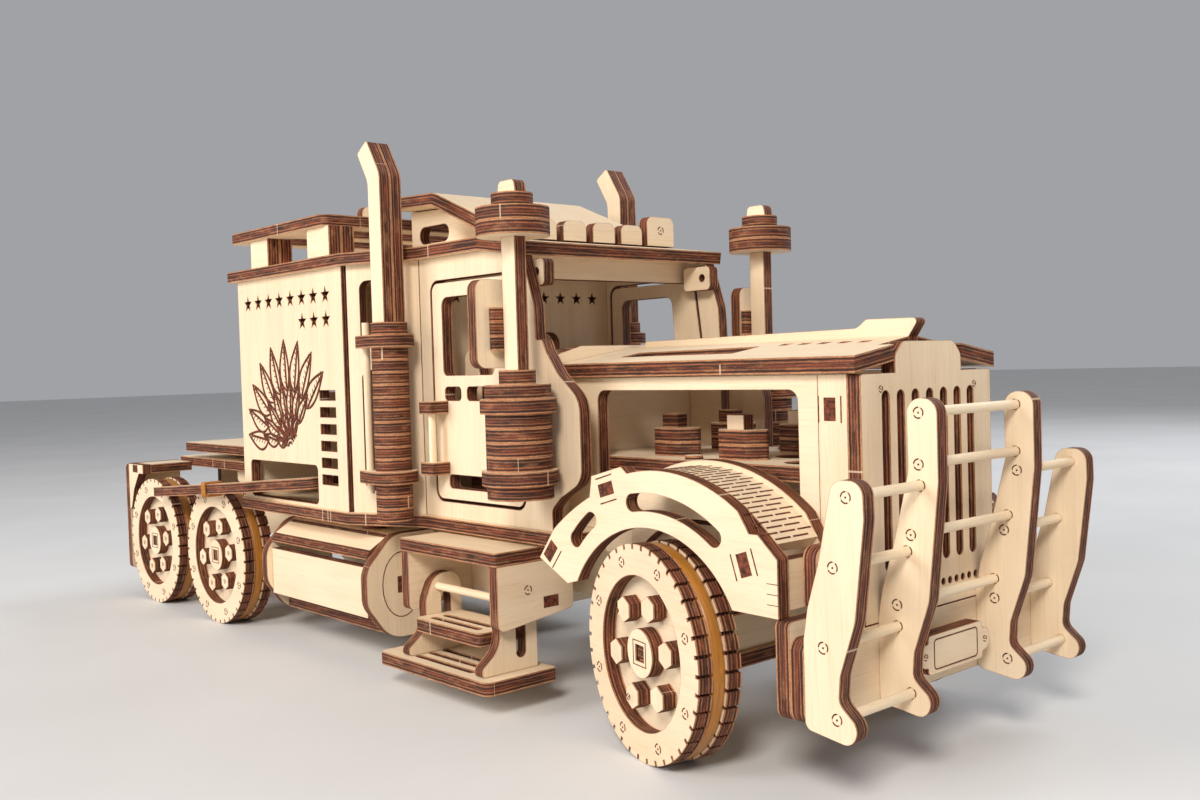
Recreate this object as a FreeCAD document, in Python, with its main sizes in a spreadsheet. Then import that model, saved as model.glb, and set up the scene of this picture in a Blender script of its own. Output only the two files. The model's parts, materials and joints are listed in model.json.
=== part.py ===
import FreeCAD, Part
import math
import os
import re
import Sketcher
from types import SimpleNamespace

# A plywood truck tractor kit. Every flat piece is laser cut from one sheet thickness, every round
# stick is the same dowel. +X points forward, +Y to the driver's left, +Z up; the origin lies on the
# ground under the middle of the whole model. All sizes are millimetres.

SIZES = {
    "ply": (4.0, "thickness of the plywood sheet"),
    "dowel_radius": (1.2, "radius of the round sticks"),
    "running_gap": (0.05, "radial room of a turning stick in its hole"),
    "base_low": (48.4, "underside of the floor plate"),
    "roof_low": (136.0, "underside of the roof plate"),
    "cab_half": (41.3, "half width of the cab, outside"),
    "sleeper_half": (54.2, "half width of the sleeper, outside"),
    "hood_half": (28.4, "half width of the hood, outside"),
    "rail_half": (20.0, "half width of the frame over its rails"),
    "sleeper_rear": (-84.0, "rear face of the sleeper"),
    "sleeper_front": (-4.0, "where the sleeper side turns in"),
    "cab_rear": (24.3, "where the cab side starts"),
    "hood_rear": (82.2, "rear end of the hood"),
    "radiator_rear": (175.5, "rear end of the radiator posts"),
    "grille_rear": (184.0, "rear face of the grille panel"),
    "bumper_half": (51.4, "half width of the bumper"),
    "bumper_low": (19.0, "underside of the bumper"),
    "guard_rear": (188.0, "rear edge of the guard plates"),
    "guard_inner": (23.5, "outer face of the inner guard plates"),
    "wheel_radius": (27.5, "radius over the tread"),
    "wheel_opening": (19.6, "radius of the opening in the tyre ring"),
    "band_radius": (27.2, "outer radius of the rubber band"),
    "rim_radius": (24.0, "radius of the rim disc"),
    "hub_radius": (6.2, "radius of the hub disc"),
    "lug_radius": (3.4, "corner radius of a lug nut"),
    "lug_circle": (12.6, "radius of the lug nut circle"),
    "axle_square": (4.2, "side of the square axle end"),
    "axle_radius": (2.5, "radius of the round axle"),
    "rear_wheel_face": (56.9, "outer face of the rear wheels"),
    "front_wheel_face": (54.7, "outer face of the front wheels, steered"),
    "rear_axle_x": (-172.4, "rearmost axle"),
    "mid_axle_x": (-108.3, "middle axle"),
    "front_axle_x": (139.3, "front axle at the right-hand wheel"),
    "kingpin_x": (140.95, "kingpins, along the truck"),
    "kingpin_y": (41.5, "kingpins, from the middle"),
    "steer_angle": (-14.0, "angle that the front wheels are built at"),
    "track_arm": (12.0, "length of the steering arms"),
    "fender_inner": (31.4, "inner radius of the fender arch"),
    "fender_outer": (47.2, "outer radius of the fender arch"),
    "fender_x": (143.1, "centre of the outer fender arch, along the truck"),
    "fender_z": (26.3, "centre of the outer fender arch, height"),
    "hood_edge": (96.6, "underside of the hood at its side"),
    "hood_ridge": (101.0, "underside of the hood at the ridge"),
    "deck_low": (58.6, "underside of the rear deck"),
    "engine_deck_low": (69.4, "underside of the engine deck"),
    "kingpin_bore": (3.0, "radius of the fifth wheel's hole"),
    "muffler_x": (22.0, "exhaust stack, along the truck"),
    "muffler_y": (52.0, "exhaust stack, from the middle"),
    "cleaner_x": (89.7, "air cleaner, along the truck"),
    "cleaner_y": (52.6, "air cleaner, from the middle"),
    "lever_low": (58.5, "underside of the release lever at its pin"),
    "lever_x": (-34.0, "release lever pin, along the truck"),
    "lever_y": (-47.0, "release lever pin, from the middle"),
    "lever_lean": (-4.6, "angle that the release lever droops at"),
    "saddle_low": (65.8, "underside of the fifth wheel"),
}

doc = FreeCAD.newDocument("truck_tractor")
sizes_sheet = doc.addObject("Spreadsheet::Sheet", "Sizes")
for row, (name, (value, note)) in enumerate(SIZES.items(), start=1):
    sizes_sheet.set(f"A{row}", name)
    sizes_sheet.set(f"B{row}", str(value))
    sizes_sheet.set(f"C{row}", note)
    sizes_sheet.setAlias(f"B{row}", name)
doc.recompute()
s = SimpleNamespace(**{name: float(sizes_sheet.get(name)) for name in SIZES})

PLY = "ply"
PLANES = {"xy": "XY_Plane", "xz": "XZ_Plane", "yz": "YZ_Plane"}
NODES = []


def bound(text):
    """Turn the size names in an expression into references to the sheet."""
    return re.sub(r"[a-z]+(?:_[a-z]+)*", lambda m: f"Sizes.{m.group(0)}" if m.group(0) in SIZES
                  else m.group(0), str(text))


# ---- closed outlines, as lists of sketch edges -------------------------------------------------

def vec(x, y):
    return FreeCAD.Vector(x, y, 0)


def rounded(points):
    """Closed outline through points; a third number rounds that corner."""
    count = len(points)
    starts, ends, middles = [], [], []
    for i, point in enumerate(points):
        here = vec(*point[:2])
        radius = point[2] if len(point) > 2 else 0
        if radius == 0:
            starts.append(here)
            ends.append(here)
            middles.append(None)
            continue
        back = (vec(*points[i - 1][:2]) - here).normalize()
        ahead = (vec(*points[(i + 1) % count][:2]) - here).normalize()
        half = back.getAngle(ahead) / 2
        if half > math.radians(89.5):
            starts.append(here)
            ends.append(here)
            middles.append(None)
            continue
        reach = radius / math.tan(half)
        bisector = (back + ahead).normalize()
        centre = here + bisector * (radius / math.sin(half))
        starts.append(here + back * reach)
        ends.append(here + ahead * reach)
        middles.append(centre - bisector * radius)
    edges = []
    for i in range(count):
        if middles[i] is not None:
            edges.append(Part.Arc(starts[i], middles[i], ends[i]))
        following = starts[(i + 1) % count]
        if (following - ends[i]).Length > 1e-6:
            edges.append(Part.LineSegment(ends[i], following))
    return edges


def rect(x0, y0, x1, y1, radius=0):
    corners = [(x0, y0), (x1, y0), (x1, y1), (x0, y1)]
    return rounded([(x, y, radius) for x, y in corners])


def slot(xa, ya, xb, yb, radius):
    """Stadium between two end centres."""
    along = (vec(xb, yb) - vec(xa, ya)).normalize()
    side = vec(-along.y, along.x) * radius
    a, b = vec(xa, ya), vec(xb, yb)
    return [Part.LineSegment(a + side, b + side),
            Part.Arc(b + side, b + along * radius, b - side),
            Part.LineSegment(b - side, a - side),
            Part.Arc(a - side, a - along * radius, a + side)]


def polar(cx, cy, radius, angle):
    turn = math.radians(angle)
    return vec(cx + radius * math.cos(turn), cy + radius * math.sin(turn))


def arc(cx, cy, radius, start, end):
    return Part.Arc(polar(cx, cy, radius, start), polar(cx, cy, radius, (start + end) / 2),
                    polar(cx, cy, radius, end))


def curved_slot(cx, cy, radius, start, end, half_width):
    """Slot along an arc, with round ends."""
    outer, inner = radius + half_width, radius - half_width
    tip = math.degrees(half_width / radius)
    return [arc(cx, cy, outer, start, end),
            Part.Arc(polar(cx, cy, outer, end), polar(cx, cy, radius, end + tip),
                     polar(cx, cy, inner, end)),
            arc(cx, cy, inner, end, start),
            Part.Arc(polar(cx, cy, inner, start), polar(cx, cy, radius, start - tip),
                     polar(cx, cy, outer, start))]


def star(cx, cy, radius):
    points = []
    for i in range(10):
        reach = radius if i % 2 == 0 else radius * 0.42
        tip = polar(cx, cy, reach, 90 + 36 * i)
        points.append((tip.x, tip.y))
    return rounded(points)


def hexagon(cx, cy, radius, turn=30):
    corners = [polar(cx, cy, radius, turn + 60 * i) for i in range(6)]
    return rounded([(c.x, c.y) for c in corners])


def tread(radius, depth, count, gap):
    """Toothed circle: wide lugs with narrow notches between them."""
    edges = []
    pitch = 360 / count
    for i in range(count):
        start = i * pitch + gap / 2
        end = (i + 1) * pitch - gap / 2
        next_start = (i + 1) * pitch + gap / 2
        edges.append(arc(0, 0, radius, start, end))
        edges.append(Part.LineSegment(polar(0, 0, radius, end), polar(0, 0, radius - depth, end)))
        edges.append(arc(0, 0, radius - depth, end, next_start))
        edges.append(Part.LineSegment(polar(0, 0, radius - depth, next_start),
                                      polar(0, 0, radius, next_start)))
    return edges


# ---- pieces ------------------------------------------------------------------------------------

def origin_plane(body, plane):
    return next(f for f in body.Origin.OriginFeatures if f.Role == PLANES[plane])


def sketch_on(body, plane, name, outlines, bores):
    sketch = body.newObject("Sketcher::SketchObject", name)
    sketch.AttachmentSupport = (origin_plane(body, plane), "")
    sketch.MapMode = "FlatFace"
    for outline in outlines:
        sketch.addGeometry(outline, False)
    for x, y, radius in bores:
        geometry = sketch.addGeometry(Part.Circle(vec(x, y), vec(0, 0) + FreeCAD.Vector(0, 0, 1), 1.0))
        index = sketch.addConstraint(Sketcher.Constraint("Radius", geometry, 1.0))
        sketch.setExpression(f"Constraints[{index}]", bound(radius))
    return sketch


def plate(label, plane, outline, at, holes=(), bores=(), thick=PLY):
    """One flat piece: an outline cut from the sheet, its low face at the expression `at`."""
    body = doc.addObject("PartDesign::Body", label)
    body.Label = label
    sketch = sketch_on(body, plane, label + "_outline", [outline, *holes], bores)
    pad = body.newObject("PartDesign::Pad", label + "_sheet")
    pad.Profile = sketch
    pad.setExpression("Length", bound(thick))
    if plane == "xy":
        body.setExpression("Placement.Base.z", bound(at))
    elif plane == "yz":
        body.setExpression("Placement.Base.x", bound(at))
    else:
        body.setExpression("Placement.Base.y", bound(f"({at}) + ({thick})"))
    return body


def profile(label, outline, half):
    """A bent or slanted piece: its side profile in XZ, spread evenly to both sides of the middle."""
    body = doc.addObject("PartDesign::Body", label)
    body.Label = label
    sketch = sketch_on(body, "xz", label + "_outline", [outline], [])
    pad = body.newObject("PartDesign::Pad", label + "_sheet")
    pad.Profile = sketch
    pad.setExpression("Length", bound(f"2 * ({half})"))
    pad.Midplane = True
    return body


def box(label, x0, x1, y0, y1, z0, z1):
    """A square block; each bound may be a number or an expression."""
    piece = doc.addObject("Part::Box", label)
    piece.Label = label
    piece.setExpression("Length", bound(f"({x1}) - ({x0})"))
    piece.setExpression("Width", bound(f"({y1}) - ({y0})"))
    piece.setExpression("Height", bound(f"({z1}) - ({z0})"))
    piece.setExpression("Placement.Base.x", bound(x0))
    piece.setExpression("Placement.Base.y", bound(y0))
    piece.setExpression("Placement.Base.z", bound(z0))
    return piece


TURNS = {"x": (FreeCAD.Vector(0, 1, 0), 90), "y": (FreeCAD.Vector(1, 0, 0), -90),
         "z": (FreeCAD.Vector(0, 0, 1), 0)}


def rod(label, axis, x, y, z, length, radius="dowel_radius"):
    """A round stick that starts at x, y, z and runs along +axis."""
    piece = doc.addObject("Part::Cylinder", label)
    piece.Label = label
    piece.setExpression("Radius", bound(radius))
    piece.setExpression("Height", bound(length))
    turn_axis, angle = TURNS[axis]
    piece.Placement = FreeCAD.Placement(FreeCAD.Vector(0, 0, 0), FreeCAD.Rotation(turn_axis, angle))
    piece.setExpression("Placement.Base.x", bound(x))
    piece.setExpression("Placement.Base.y", bound(y))
    piece.setExpression("Placement.Base.z", bound(z))
    return piece


def mirrored(piece, label):
    """The left-hand twin of a right-hand piece."""
    twin = doc.addObject("Part::Mirroring", label)
    twin.Label = label
    twin.Source = piece
    twin.Normal = FreeCAD.Vector(0, 1, 0)
    twin.Base = FreeCAD.Vector(0, 0, 0)
    return twin


def group(label, pieces):
    together = doc.addObject("Part::Compound", label)
    together.Label = label
    together.Links = pieces
    return together


def node(label, pieces):
    """A named sub-part made of one or more separate solids."""
    together = group(label, pieces)
    NODES.append(together)
    return together


def both_sides(label, pieces):
    right = group(label + "_right_half", pieces)
    return node(label, [right, mirrored(right, label + "_left_half")])


def leaned(piece):
    """Tip the release lever and its pin backwards about the pin."""
    pivot = FreeCAD.Vector(s.lever_x, s.lever_y, s.lever_low)
    turn = FreeCAD.Rotation(FreeCAD.Vector(0, 1, 0), s.lever_lean)
    piece.Placement = FreeCAD.Placement(pivot - turn.multVec(pivot), turn)
    return piece


# ---- frame -------------------------------------------------------------------------------------

def make_frame():
    bottom, top, front_bottom = 30.0, 46.0, 37.2
    front_end, rear_end = 180.0, -198.0
    lobe = 7.5
    points = [(front_end, front_bottom, 2), (front_end, top), (rear_end, top), (rear_end, bottom, 3)]
    for axle in (s.rear_axle_x, s.mid_axle_x):
        points += [(axle - 2 * lobe, bottom, 4), (axle - lobe, 27.5 - lobe, 5),
                   (axle + lobe, 27.5 - lobe, 5), (axle + 2 * lobe, bottom, 4)]
    points += [(104, bottom, 3), (114, front_bottom, 3)]
    outline = rounded(points)
    bores = [(s.rear_axle_x, 27.5, "axle_radius + running_gap"),
             (s.mid_axle_x, 27.5, "axle_radius + running_gap")]
    holes = [slot(x, 38, x + 22, 38, 3) for x in (-66, -26, 14, 54)]
    rail = plate("frame_rail_right", "xz", outline, "-rail_half", holes, bores)
    both_sides("frame_rails", [rail])

    crosses = []
    for i, x in enumerate((-194, -142, -76, -36, 28, 96)):
        crosses.append(plate(f"cross_member_{i + 1}", "yz", rect(-16, 32, 16, 46), str(x)))
    crosses.append(plate("cross_member_7", "yz", rect(-16, 38, 16, 46), "170"))
    node("cross_members", crosses)


def make_floor_and_roof():
    wide = s.sleeper_half + 1.4
    narrow = s.cab_half + 1.9
    floor_half = [(s.sleeper_rear - 2, -wide, 2), (s.sleeper_front + 1, -wide),
                  (s.cab_rear + 1, -narrow), (97.5, -narrow, 2)]
    twin = [(p[0], -p[1], *p[2:]) for p in reversed(floor_half)]
    pin = rod("lever_pin", "z", "lever_x", "lever_y", "base_low + ply + 0.2", 11.4)
    node("base_plate", [plate("floor_sheet", "xy", rounded(floor_half + twin), "base_low"),
                        leaned(group("lever_pivot", [pin]))])

    wide = s.sleeper_half + 2.0
    narrow = s.cab_half + 2.4
    roof_half = [(-90.0, -wide, 2), (s.sleeper_front + 2, -wide), (s.cab_rear + 2, -narrow),
                 (60.0, -narrow)]
    twin = [(p[0], -p[1], *p[2:]) for p in reversed(roof_half)]
    node("roof_plate", [plate("roof_sheet", "xy", rounded(roof_half + twin), "roof_low")])

    drop = 3.0
    top = s.roof_low + s.ply
    visor = rounded([(60.1, top), (80.0, top - drop), (79.4, top - drop - s.ply), (60.1, s.roof_low)])
    node("sun_visor", [profile("visor_sheet", visor, "cab_half + 2.4")])

    rack = rounded([(-90, -54, 3), (-16, -54, 3), (-16, 54, 3), (-90, 54, 3)])
    windows = [rect(-80, -44, -58, 44, 4), rect(-48, -44, -26, 44, 4)]
    pieces = [plate("rack_top", "xy", rack, "151", windows)]
    for i, (x0, x1) in enumerate(((-75, -61), (-30, -14.5))):
        for j, sign in enumerate((-1, 1)):
            y0, y1 = sorted((sign * 42.5, sign * 52.5))
            pieces.append(box(f"rack_post_{2 * i + j + 1}", x0, x1, y0, y1, "roof_low + ply", 151))
    for i, y in enumerate((-32, 32)):
        knob = rounded([(y - 3.8, 155), (y + 3.8, 155), (y + 3.8, 159.2, 2.6), (y - 3.8, 159.2, 2.6)])
        pieces.append(plate(f"rack_knob_{i + 1}", "yz", knob, "-23.5"))
    node("roof_rack", pieces)


def make_deflector():
    low = s.roof_low + s.ply
    thick = s.ply
    outline = rounded([(58, low + 0.1), (58, low + 2.5, 1), (44, low + 9.5, 8), (20, low + 19.3, 10),
                       (-8, low + 20.5), (-8, low + 20.5 - thick), (19, low + 15.2, 8),
                       (42, low + 5.4, 8), (52, low + 0.1)])
    sheet = profile("deflector_sheet", outline, 32)
    ribs = []
    rib = rounded([(36, low), (34, low + 8.2), (18, low + 15.0), (-6, low + 15.9), (-6, low)])
    holes = [slot(2, low + 7, 14, low + 7, 3)]
    for i, y in enumerate((-24, 20)):
        ribs.append(plate(f"deflector_rib_{i + 1}", "xz", rib, str(y), holes))
    node("wind_deflector", [sheet, *ribs])

    lamps = []
    foot = low + 0.2
    for i, (y, half, top) in enumerate(((-32.5, 6.4, 10), (-18.8, 4.8, 6.5), (-6.3, 4.8, 6.5),
                                        (6.3, 4.8, 6.5), (18.8, 4.8, 6.5), (32.5, 6.4, 10))):
        lamp = rounded([(y - half, foot), (y + half, foot), (y + half, foot + top, 2.5),
                        (y - half, foot + top, 2.5)])
        lamps.append(plate(f"roof_lamp_{i + 1}", "yz", lamp, "58.4"))
    node("marker_lights", lamps)


# ---- cab and sleeper -----------------------------------------------------------------------------

DOOR = dict(x0=30.3, x1=73.6, z0=57.5, z1=128.6)


def door_outline(shrink):
    return rounded([(DOOR["x0"] + shrink, DOOR["z0"] + shrink, 4 - shrink),
                    (DOOR["x1"] + 4 - shrink, DOOR["z0"] + shrink, 4 - shrink),
                    (DOOR["x1"] + 4 - shrink, 98, 6),
                    (DOOR["x1"] - shrink, DOOR["z1"] - shrink, 4 - shrink),
                    (DOOR["x0"] + shrink, DOOR["z1"] - shrink, 4 - shrink)])


def make_cab():
    floor = s.base_low + s.ply
    low, high = floor, s.roof_low
    cab = rounded([(s.cab_rear, low), (89.5, low), (89.5, 59, 3), (93.5, 62.5, 3), (102.8, 67.5, 6),
                   (102.8, 90.5, 8), (93.5, 98, 6), (88.6, 104.5, 3), (87, 107.8, 0.8), (84.2, 107.8, 0.6),
                   (83.8, 118, 8), (78.8, high - 3.0), (60, high), (s.cab_rear, high)])
    side = plate("cab_side_right", "xz", cab, "-cab_half", [door_outline(0)])
    both_sides("cab_sides", [side])

    # slanted walls between the wide sleeper and the narrow cab, each with two windows
    x0, y0 = s.sleeper_front + 0.2, -s.sleeper_half + 0.1
    x1, y1 = s.cab_rear - 0.2, -s.cab_half - 0.1
    lean = math.degrees(math.atan2(y1 - y0, x1 - x0))
    width = math.hypot(x1 - x0, y1 - y0)
    start = 1.9
    windows = [rect(7, 108, width - 6, 130.5, 3), rect(7, 60, width - 6, 100.5, 3)]
    wall = group("slanted_wall", [plate("slanted_wall_sheet", "xz", rect(start, low, width, high), "0",
                                        windows)])
    wall.Placement = FreeCAD.Placement(vec(x0, y0), FreeCAD.Rotation(FreeCAD.Vector(0, 0, 1), lean))
    both_sides("diagonal_walls", [wall])

    # sleeper side with stars, a column of slots and the lever opening
    sleeper = rounded([(s.sleeper_rear, low), (s.sleeper_front, low), (s.sleeper_front, high),
                       (s.sleeper_rear, high)])
    holes = [star(-75.5 + 8.6 * i, 127, 3.1) for i in range(8)]
    holes += [star(-32.5 + 8.6 * i, 118.5, 3.1) for i in range(3)]
    holes += [rect(-21.8, 90.4 - 5.9 * i, -10.5, 94 - 5.9 * i) for i in range(6)]
    lever_gap = rect(-78, 53.6, -24.8, 67.5, 2)
    node("sleeper_sides", [plate("sleeper_side_right", "xz", sleeper, "-sleeper_half", [*holes, lever_gap]),
                           plate("sleeper_side_left", "xz", sleeper, "sleeper_half - ply", holes)])

    inner = s.sleeper_half - s.ply
    back = rounded([(-inner, low), (inner, low), (inner, high), (-inner, high)])
    window = [rect(-38, 92, -6, 122, 4), rect(6, 92, 38, 122, 4)]
    node("sleeper_back", [plate("sleeper_back_sheet", "yz", back, "sleeper_rear", window)])

    inner = s.cab_half - s.ply
    part = rounded([(-inner, low), (inner, low), (inner, high), (-inner, high)])
    stars = [star(-30 + 7.5 * i, 124, 2.3) for i in range(9)]
    doorway = rect(-14, 60, 14, 112, 4)
    node("cab_partition", [plate("partition_sheet", "yz", part, "cab_rear + 0.2", [*stars, doorway])])

    # header over the windscreen and the small lamp brackets beside it
    top = high - 1.7
    header = rounded([(-inner, high - 9), (inner, high - 9), (inner, top), (-inner, top)])
    pieces = [plate("windscreen_header", "yz", header, "66")]
    bracket = rounded([(72, 124, 1.5), (84, 124, 1.5), (84, 131.8, 1.5), (72, 131.8, 1.5)])
    for i, y in enumerate((-inner, inner - s.ply)):
        pieces.append(plate(f"header_bracket_{i + 1}", "xz", bracket, str(y), (), [(80.5, 128, "1.3")]))
    node("windshield_frame", pieces)

    cowl = rounded([(-inner, low), (inner, low), (inner, 102, 2), (22, 106, 6), (-22, 106, 6),
                    (-inner, 102, 2)])
    holes = [rect(-29.5, 96.5, -26.3, 99, 0.4), rect(26.3, 96.5, 29.5, 99, 0.4)]
    node("firewall", [plate("firewall_sheet", "yz", cowl, "hood_rear - ply - 0.2", holes)])

    desk = rounded([(62, -30), (77.9, -30), (77.9, 30), (62, 30)])
    dials = [(-24 + 8 * i, 93, "2.2") for i in range(3)]
    panel = rounded([(-32, 84), (32, 84), (32, 98), (-32, 98)])
    node("dashboard", [plate("dash_shelf", "xy", desk, "98.1"),
                       plate("dash_panel", "yz", panel, "66", (), dials),
                       rod("steering_column", "x", 60, 16, 91, 6),
                       rod("steering_wheel", "x", 57.6, 16, 91, 2.4, "8")])

    seats = []
    back = rounded([(34, 66), (40, 66), (40, 96, 2), (37, 106, 3), (31, 106, 3), (31, 96, 2)])
    for i, sign in enumerate((-1, 1)):
        y0, y1 = sorted((sign * 8, sign * 30))
        seats.append(box(f"seat_base_{i + 1}", 34, 60, y0, y1, "base_low + ply", 65.9))
        for j in range(3):
            seats.append(plate(f"seat_rib_{i + 1}_{j + 1}", "xz", back, str(y0 + 1 + 8 * j)))
    node("seats", seats)


def make_doors():
    shrink = 1.0
    window = rounded([(36.5, 98, 2), (64, 98, 2), (62, 123, 3), (36.5, 123, 3)])
    slots = [rect(37, 90, 46, 94.5, 1.5), rect(49, 90, 66, 94.5, 1.5), rect(38, 62, 60, 66.5, 1.5)]
    panel = plate("door_panel_right", "xz", door_outline(shrink), "-cab_half", [window, *slots])
    face = s.cab_half
    pieces = [panel]
    for i, z in enumerate((66.5, 86)):
        pieces.append(box(f"handle_block_right_{i + 1}", 31.6, 38.6, -face - 6.5, -face, z, z + s.ply))
    pieces.append(rod("handle_bar_right", "z", 35, -face - 4, 66.5 + s.ply, 86 - 66.5 - s.ply))
    door = node("door_right", pieces)
    NODES.append(mirrored(door, "door_left"))


# ---- hood and nose ---------------------------------------------------------------------------------

def make_hood():
    low, top = 46.0, s.hood_edge - 0.3
    floor_front, floor_top = 97.7, s.base_low + s.ply + 0.1
    side = rounded([(floor_front, low), (s.radiator_rear, low), (s.radiator_rear, top), (s.hood_rear, top),
                    (s.hood_rear, floor_top), (floor_front, floor_top)])
    window = rect(96, 57, 169.5, 92.7, 3)
    both_sides("hood_sides", [plate("hood_side_right", "xz", side, "-hood_half", [window])])

    post = rect(s.radiator_rear + 0.1, low, s.grille_rear, top)
    both_sides("radiator_posts", [plate("radiator_post_right", "xz", post, "-hood_half")])

    lip = s.hood_half + 2.2
    half = s.ply / 2 + 0.05
    slope = [(-lip, s.hood_edge), (-half, s.hood_ridge), (-half, s.hood_ridge + s.ply),
             (-lip, s.hood_edge + s.ply)]
    panel = plate("hood_panel_right", "yz", rounded(slope), "hood_rear + 0.1",
                  thick="grille_rear + ply - hood_rear - 0.1")
    vents = [rounded([(98, -13, 1), (142, -9.5, 1), (142, -21, 1), (98, -21, 1)])]
    vents += [rect(148 + 6.4 * i, -9.6, 151 + 6.4 * i, -6.6) for i in range(5)]
    vents.append(rect(s.grille_rear - 0.4, -14.8, s.grille_rear + 8, 2))
    cutter = sketch_on(panel, "xy", "hood_panel_vents", vents, [])
    pocket = panel.newObject("PartDesign::Pocket", "hood_panel_cut")
    pocket.Profile = cutter
    pocket.Type = 1
    pocket.Midplane = True
    # the pad starts at the body's own zero, so the vents are drawn from there too
    cutter.AttachmentOffset = FreeCAD.Placement(vec(-s.hood_rear - 0.1, 0), FreeCAD.Rotation())
    both_sides("hood_panels", [panel])

    ridge = s.hood_ridge + s.ply
    keel = rounded([(89, s.hood_ridge - 4), (183.6, s.hood_ridge - 4), (183.6, ridge), (186.8, 109.6, 1),
                    (171, 109.8, 1), (168, 107.6, 3), (89, 106.8, 1)])
    node("hood_keel", [plate("hood_keel_sheet", "xz", keel, "-ply / 2")])


def make_front():
    low, ear, edge = s.bumper_low, 41.5, s.bumper_half
    seam, seam_half = 37.5, s.hood_half + 0.4
    rear_sheet = rounded([(-edge, low, 3), (edge, low, 3), (edge, ear, 1.5), (30, ear), (30, 45.8),
                          (-30, 45.8), (-30, ear), (-edge, ear, 1.5)])
    front_sheet = rounded([(-edge, low, 3), (edge, low, 3), (edge, 38, 3), (seam_half, 38),
                           (seam_half, seam - 0.3), (-seam_half, seam - 0.3), (-seam_half, 38),
                           (-edge, 38, 3)])
    node("bumper_sheets", [plate("bumper_rear_sheet", "yz", rear_sheet, "grille_rear - ply"),
                           plate("bumper_front_sheet", "yz", front_sheet, "grille_rear")])

    half = s.hood_half
    top = s.hood_edge - 0.4
    grille = rounded([(-half, seam), (half, seam), (half, top, 1), (14.4, top), (14.4, 100.5, 3),
                      (11, 103.8, 3), (-11, 103.8, 3), (-14.4, 100.5, 3), (-14.4, top), (-half, top, 1)])
    bars = [slot(6.2 * i, 50.5, 6.2 * i, 90.5, 1.6) for i in range(-3, 4)]
    vents = [(-19.5 + 3 * i, 43.2, "0.9") for i in range(14)]
    node("grille_panel", [plate("grille_sheet", "yz", grille, "grille_rear", bars, vents)])

    tag = rounded([(-12, 23.5, 1), (12, 23.5, 1), (12, 25.4, 0.6), (15.4, 25.4, 2.5),
                   (15.4, 31.1, 2.5), (12, 31.1, 0.6), (12, 33, 1), (-12, 33, 1),
                   (-12, 31.1, 0.6), (-15.4, 31.1, 2.5), (-15.4, 25.4, 2.5), (-12, 25.4, 0.6)])
    node("number_plate", [plate("plate_sheet", "yz", tag, "guard_rear + 2"),
                          rod("plate_spacer_1", "x", "guard_rear", -10, 28, 2, "2"),
                          rod("plate_spacer_2", "x", "guard_rear", 10, 28, 2, "2")])

    lamp = rounded([(-46, 43, 3), (-32, 43, 3), (-32, 58, 3), (-46, 58, 3)])
    both_sides("headlights", [plate("headlight_body", "yz", lamp, "grille_rear"),
                              rod("headlight_lens", "x", "guard_rear", -39, 50.5, "ply", "5.2")])


GUARD_FOOT = [(197.6, 31.9, 6), (197.1, 26, 3), (202.2, 21.5, 3), (200.5, 17, 3), (188, 18.7, 2)]
INNER_RODS = [(200.0, 87.2), (199.8, 75.4), (197.4, 59.1), (193.3, 42.4)]
OUTER_RODS = [(200.1, 70.6), (196.3, 55.2), (193.3, 37.4), (196.6, 22.3)]


def make_guards():
    tall = rounded([(188, 38.5, 4), (189.3, 45.7, 6), (192.6, 56.1, 10), (197.1, 73.7, 10),
                    (196.9, 90.5, 3.6), (204.8, 90.5, 3.6), (204.8, 71.5, 10), (201.8, 44, 10), *GUARD_FOOT])
    short = rounded([(188, 38.5, 4), (189.3, 45.7, 6), (192.6, 56.1, 10), (196.5, 74.2, 3.4),
                     (204.4, 74.2, 3.4), (204.6, 66, 6), (201.8, 44, 10), *GUARD_FOOT])
    wide = "dowel_radius + 0.02"
    inner_holes = [(x, z, wide) for x, z in INNER_RODS + OUTER_RODS]
    outer_holes = [(x, z, wide) for x, z in OUTER_RODS]
    inner = plate("guard_inner_right", "xz", tall, "-guard_inner", (), inner_holes)
    outer = plate("guard_outer_right", "xz", short, "-bumper_half", (), outer_holes)
    both_sides("guard_plates", [inner, outer])
    rods = [rod(f"guard_rod_{i + 1}", "y", x, "-guard_inner", z, "2 * guard_inner")
            for i, (x, z) in enumerate(INNER_RODS)]
    side_rods = [rod(f"guard_side_rod_{i + 1}", "y", x, "-bumper_half", z, "bumper_half - guard_inner + ply")
                 for i, (x, z) in enumerate(OUTER_RODS)]
    right = group("guard_side_rods_right", side_rods)
    node("guard_rods", [*rods, right, mirrored(right, "guard_side_rods_left")])


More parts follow.
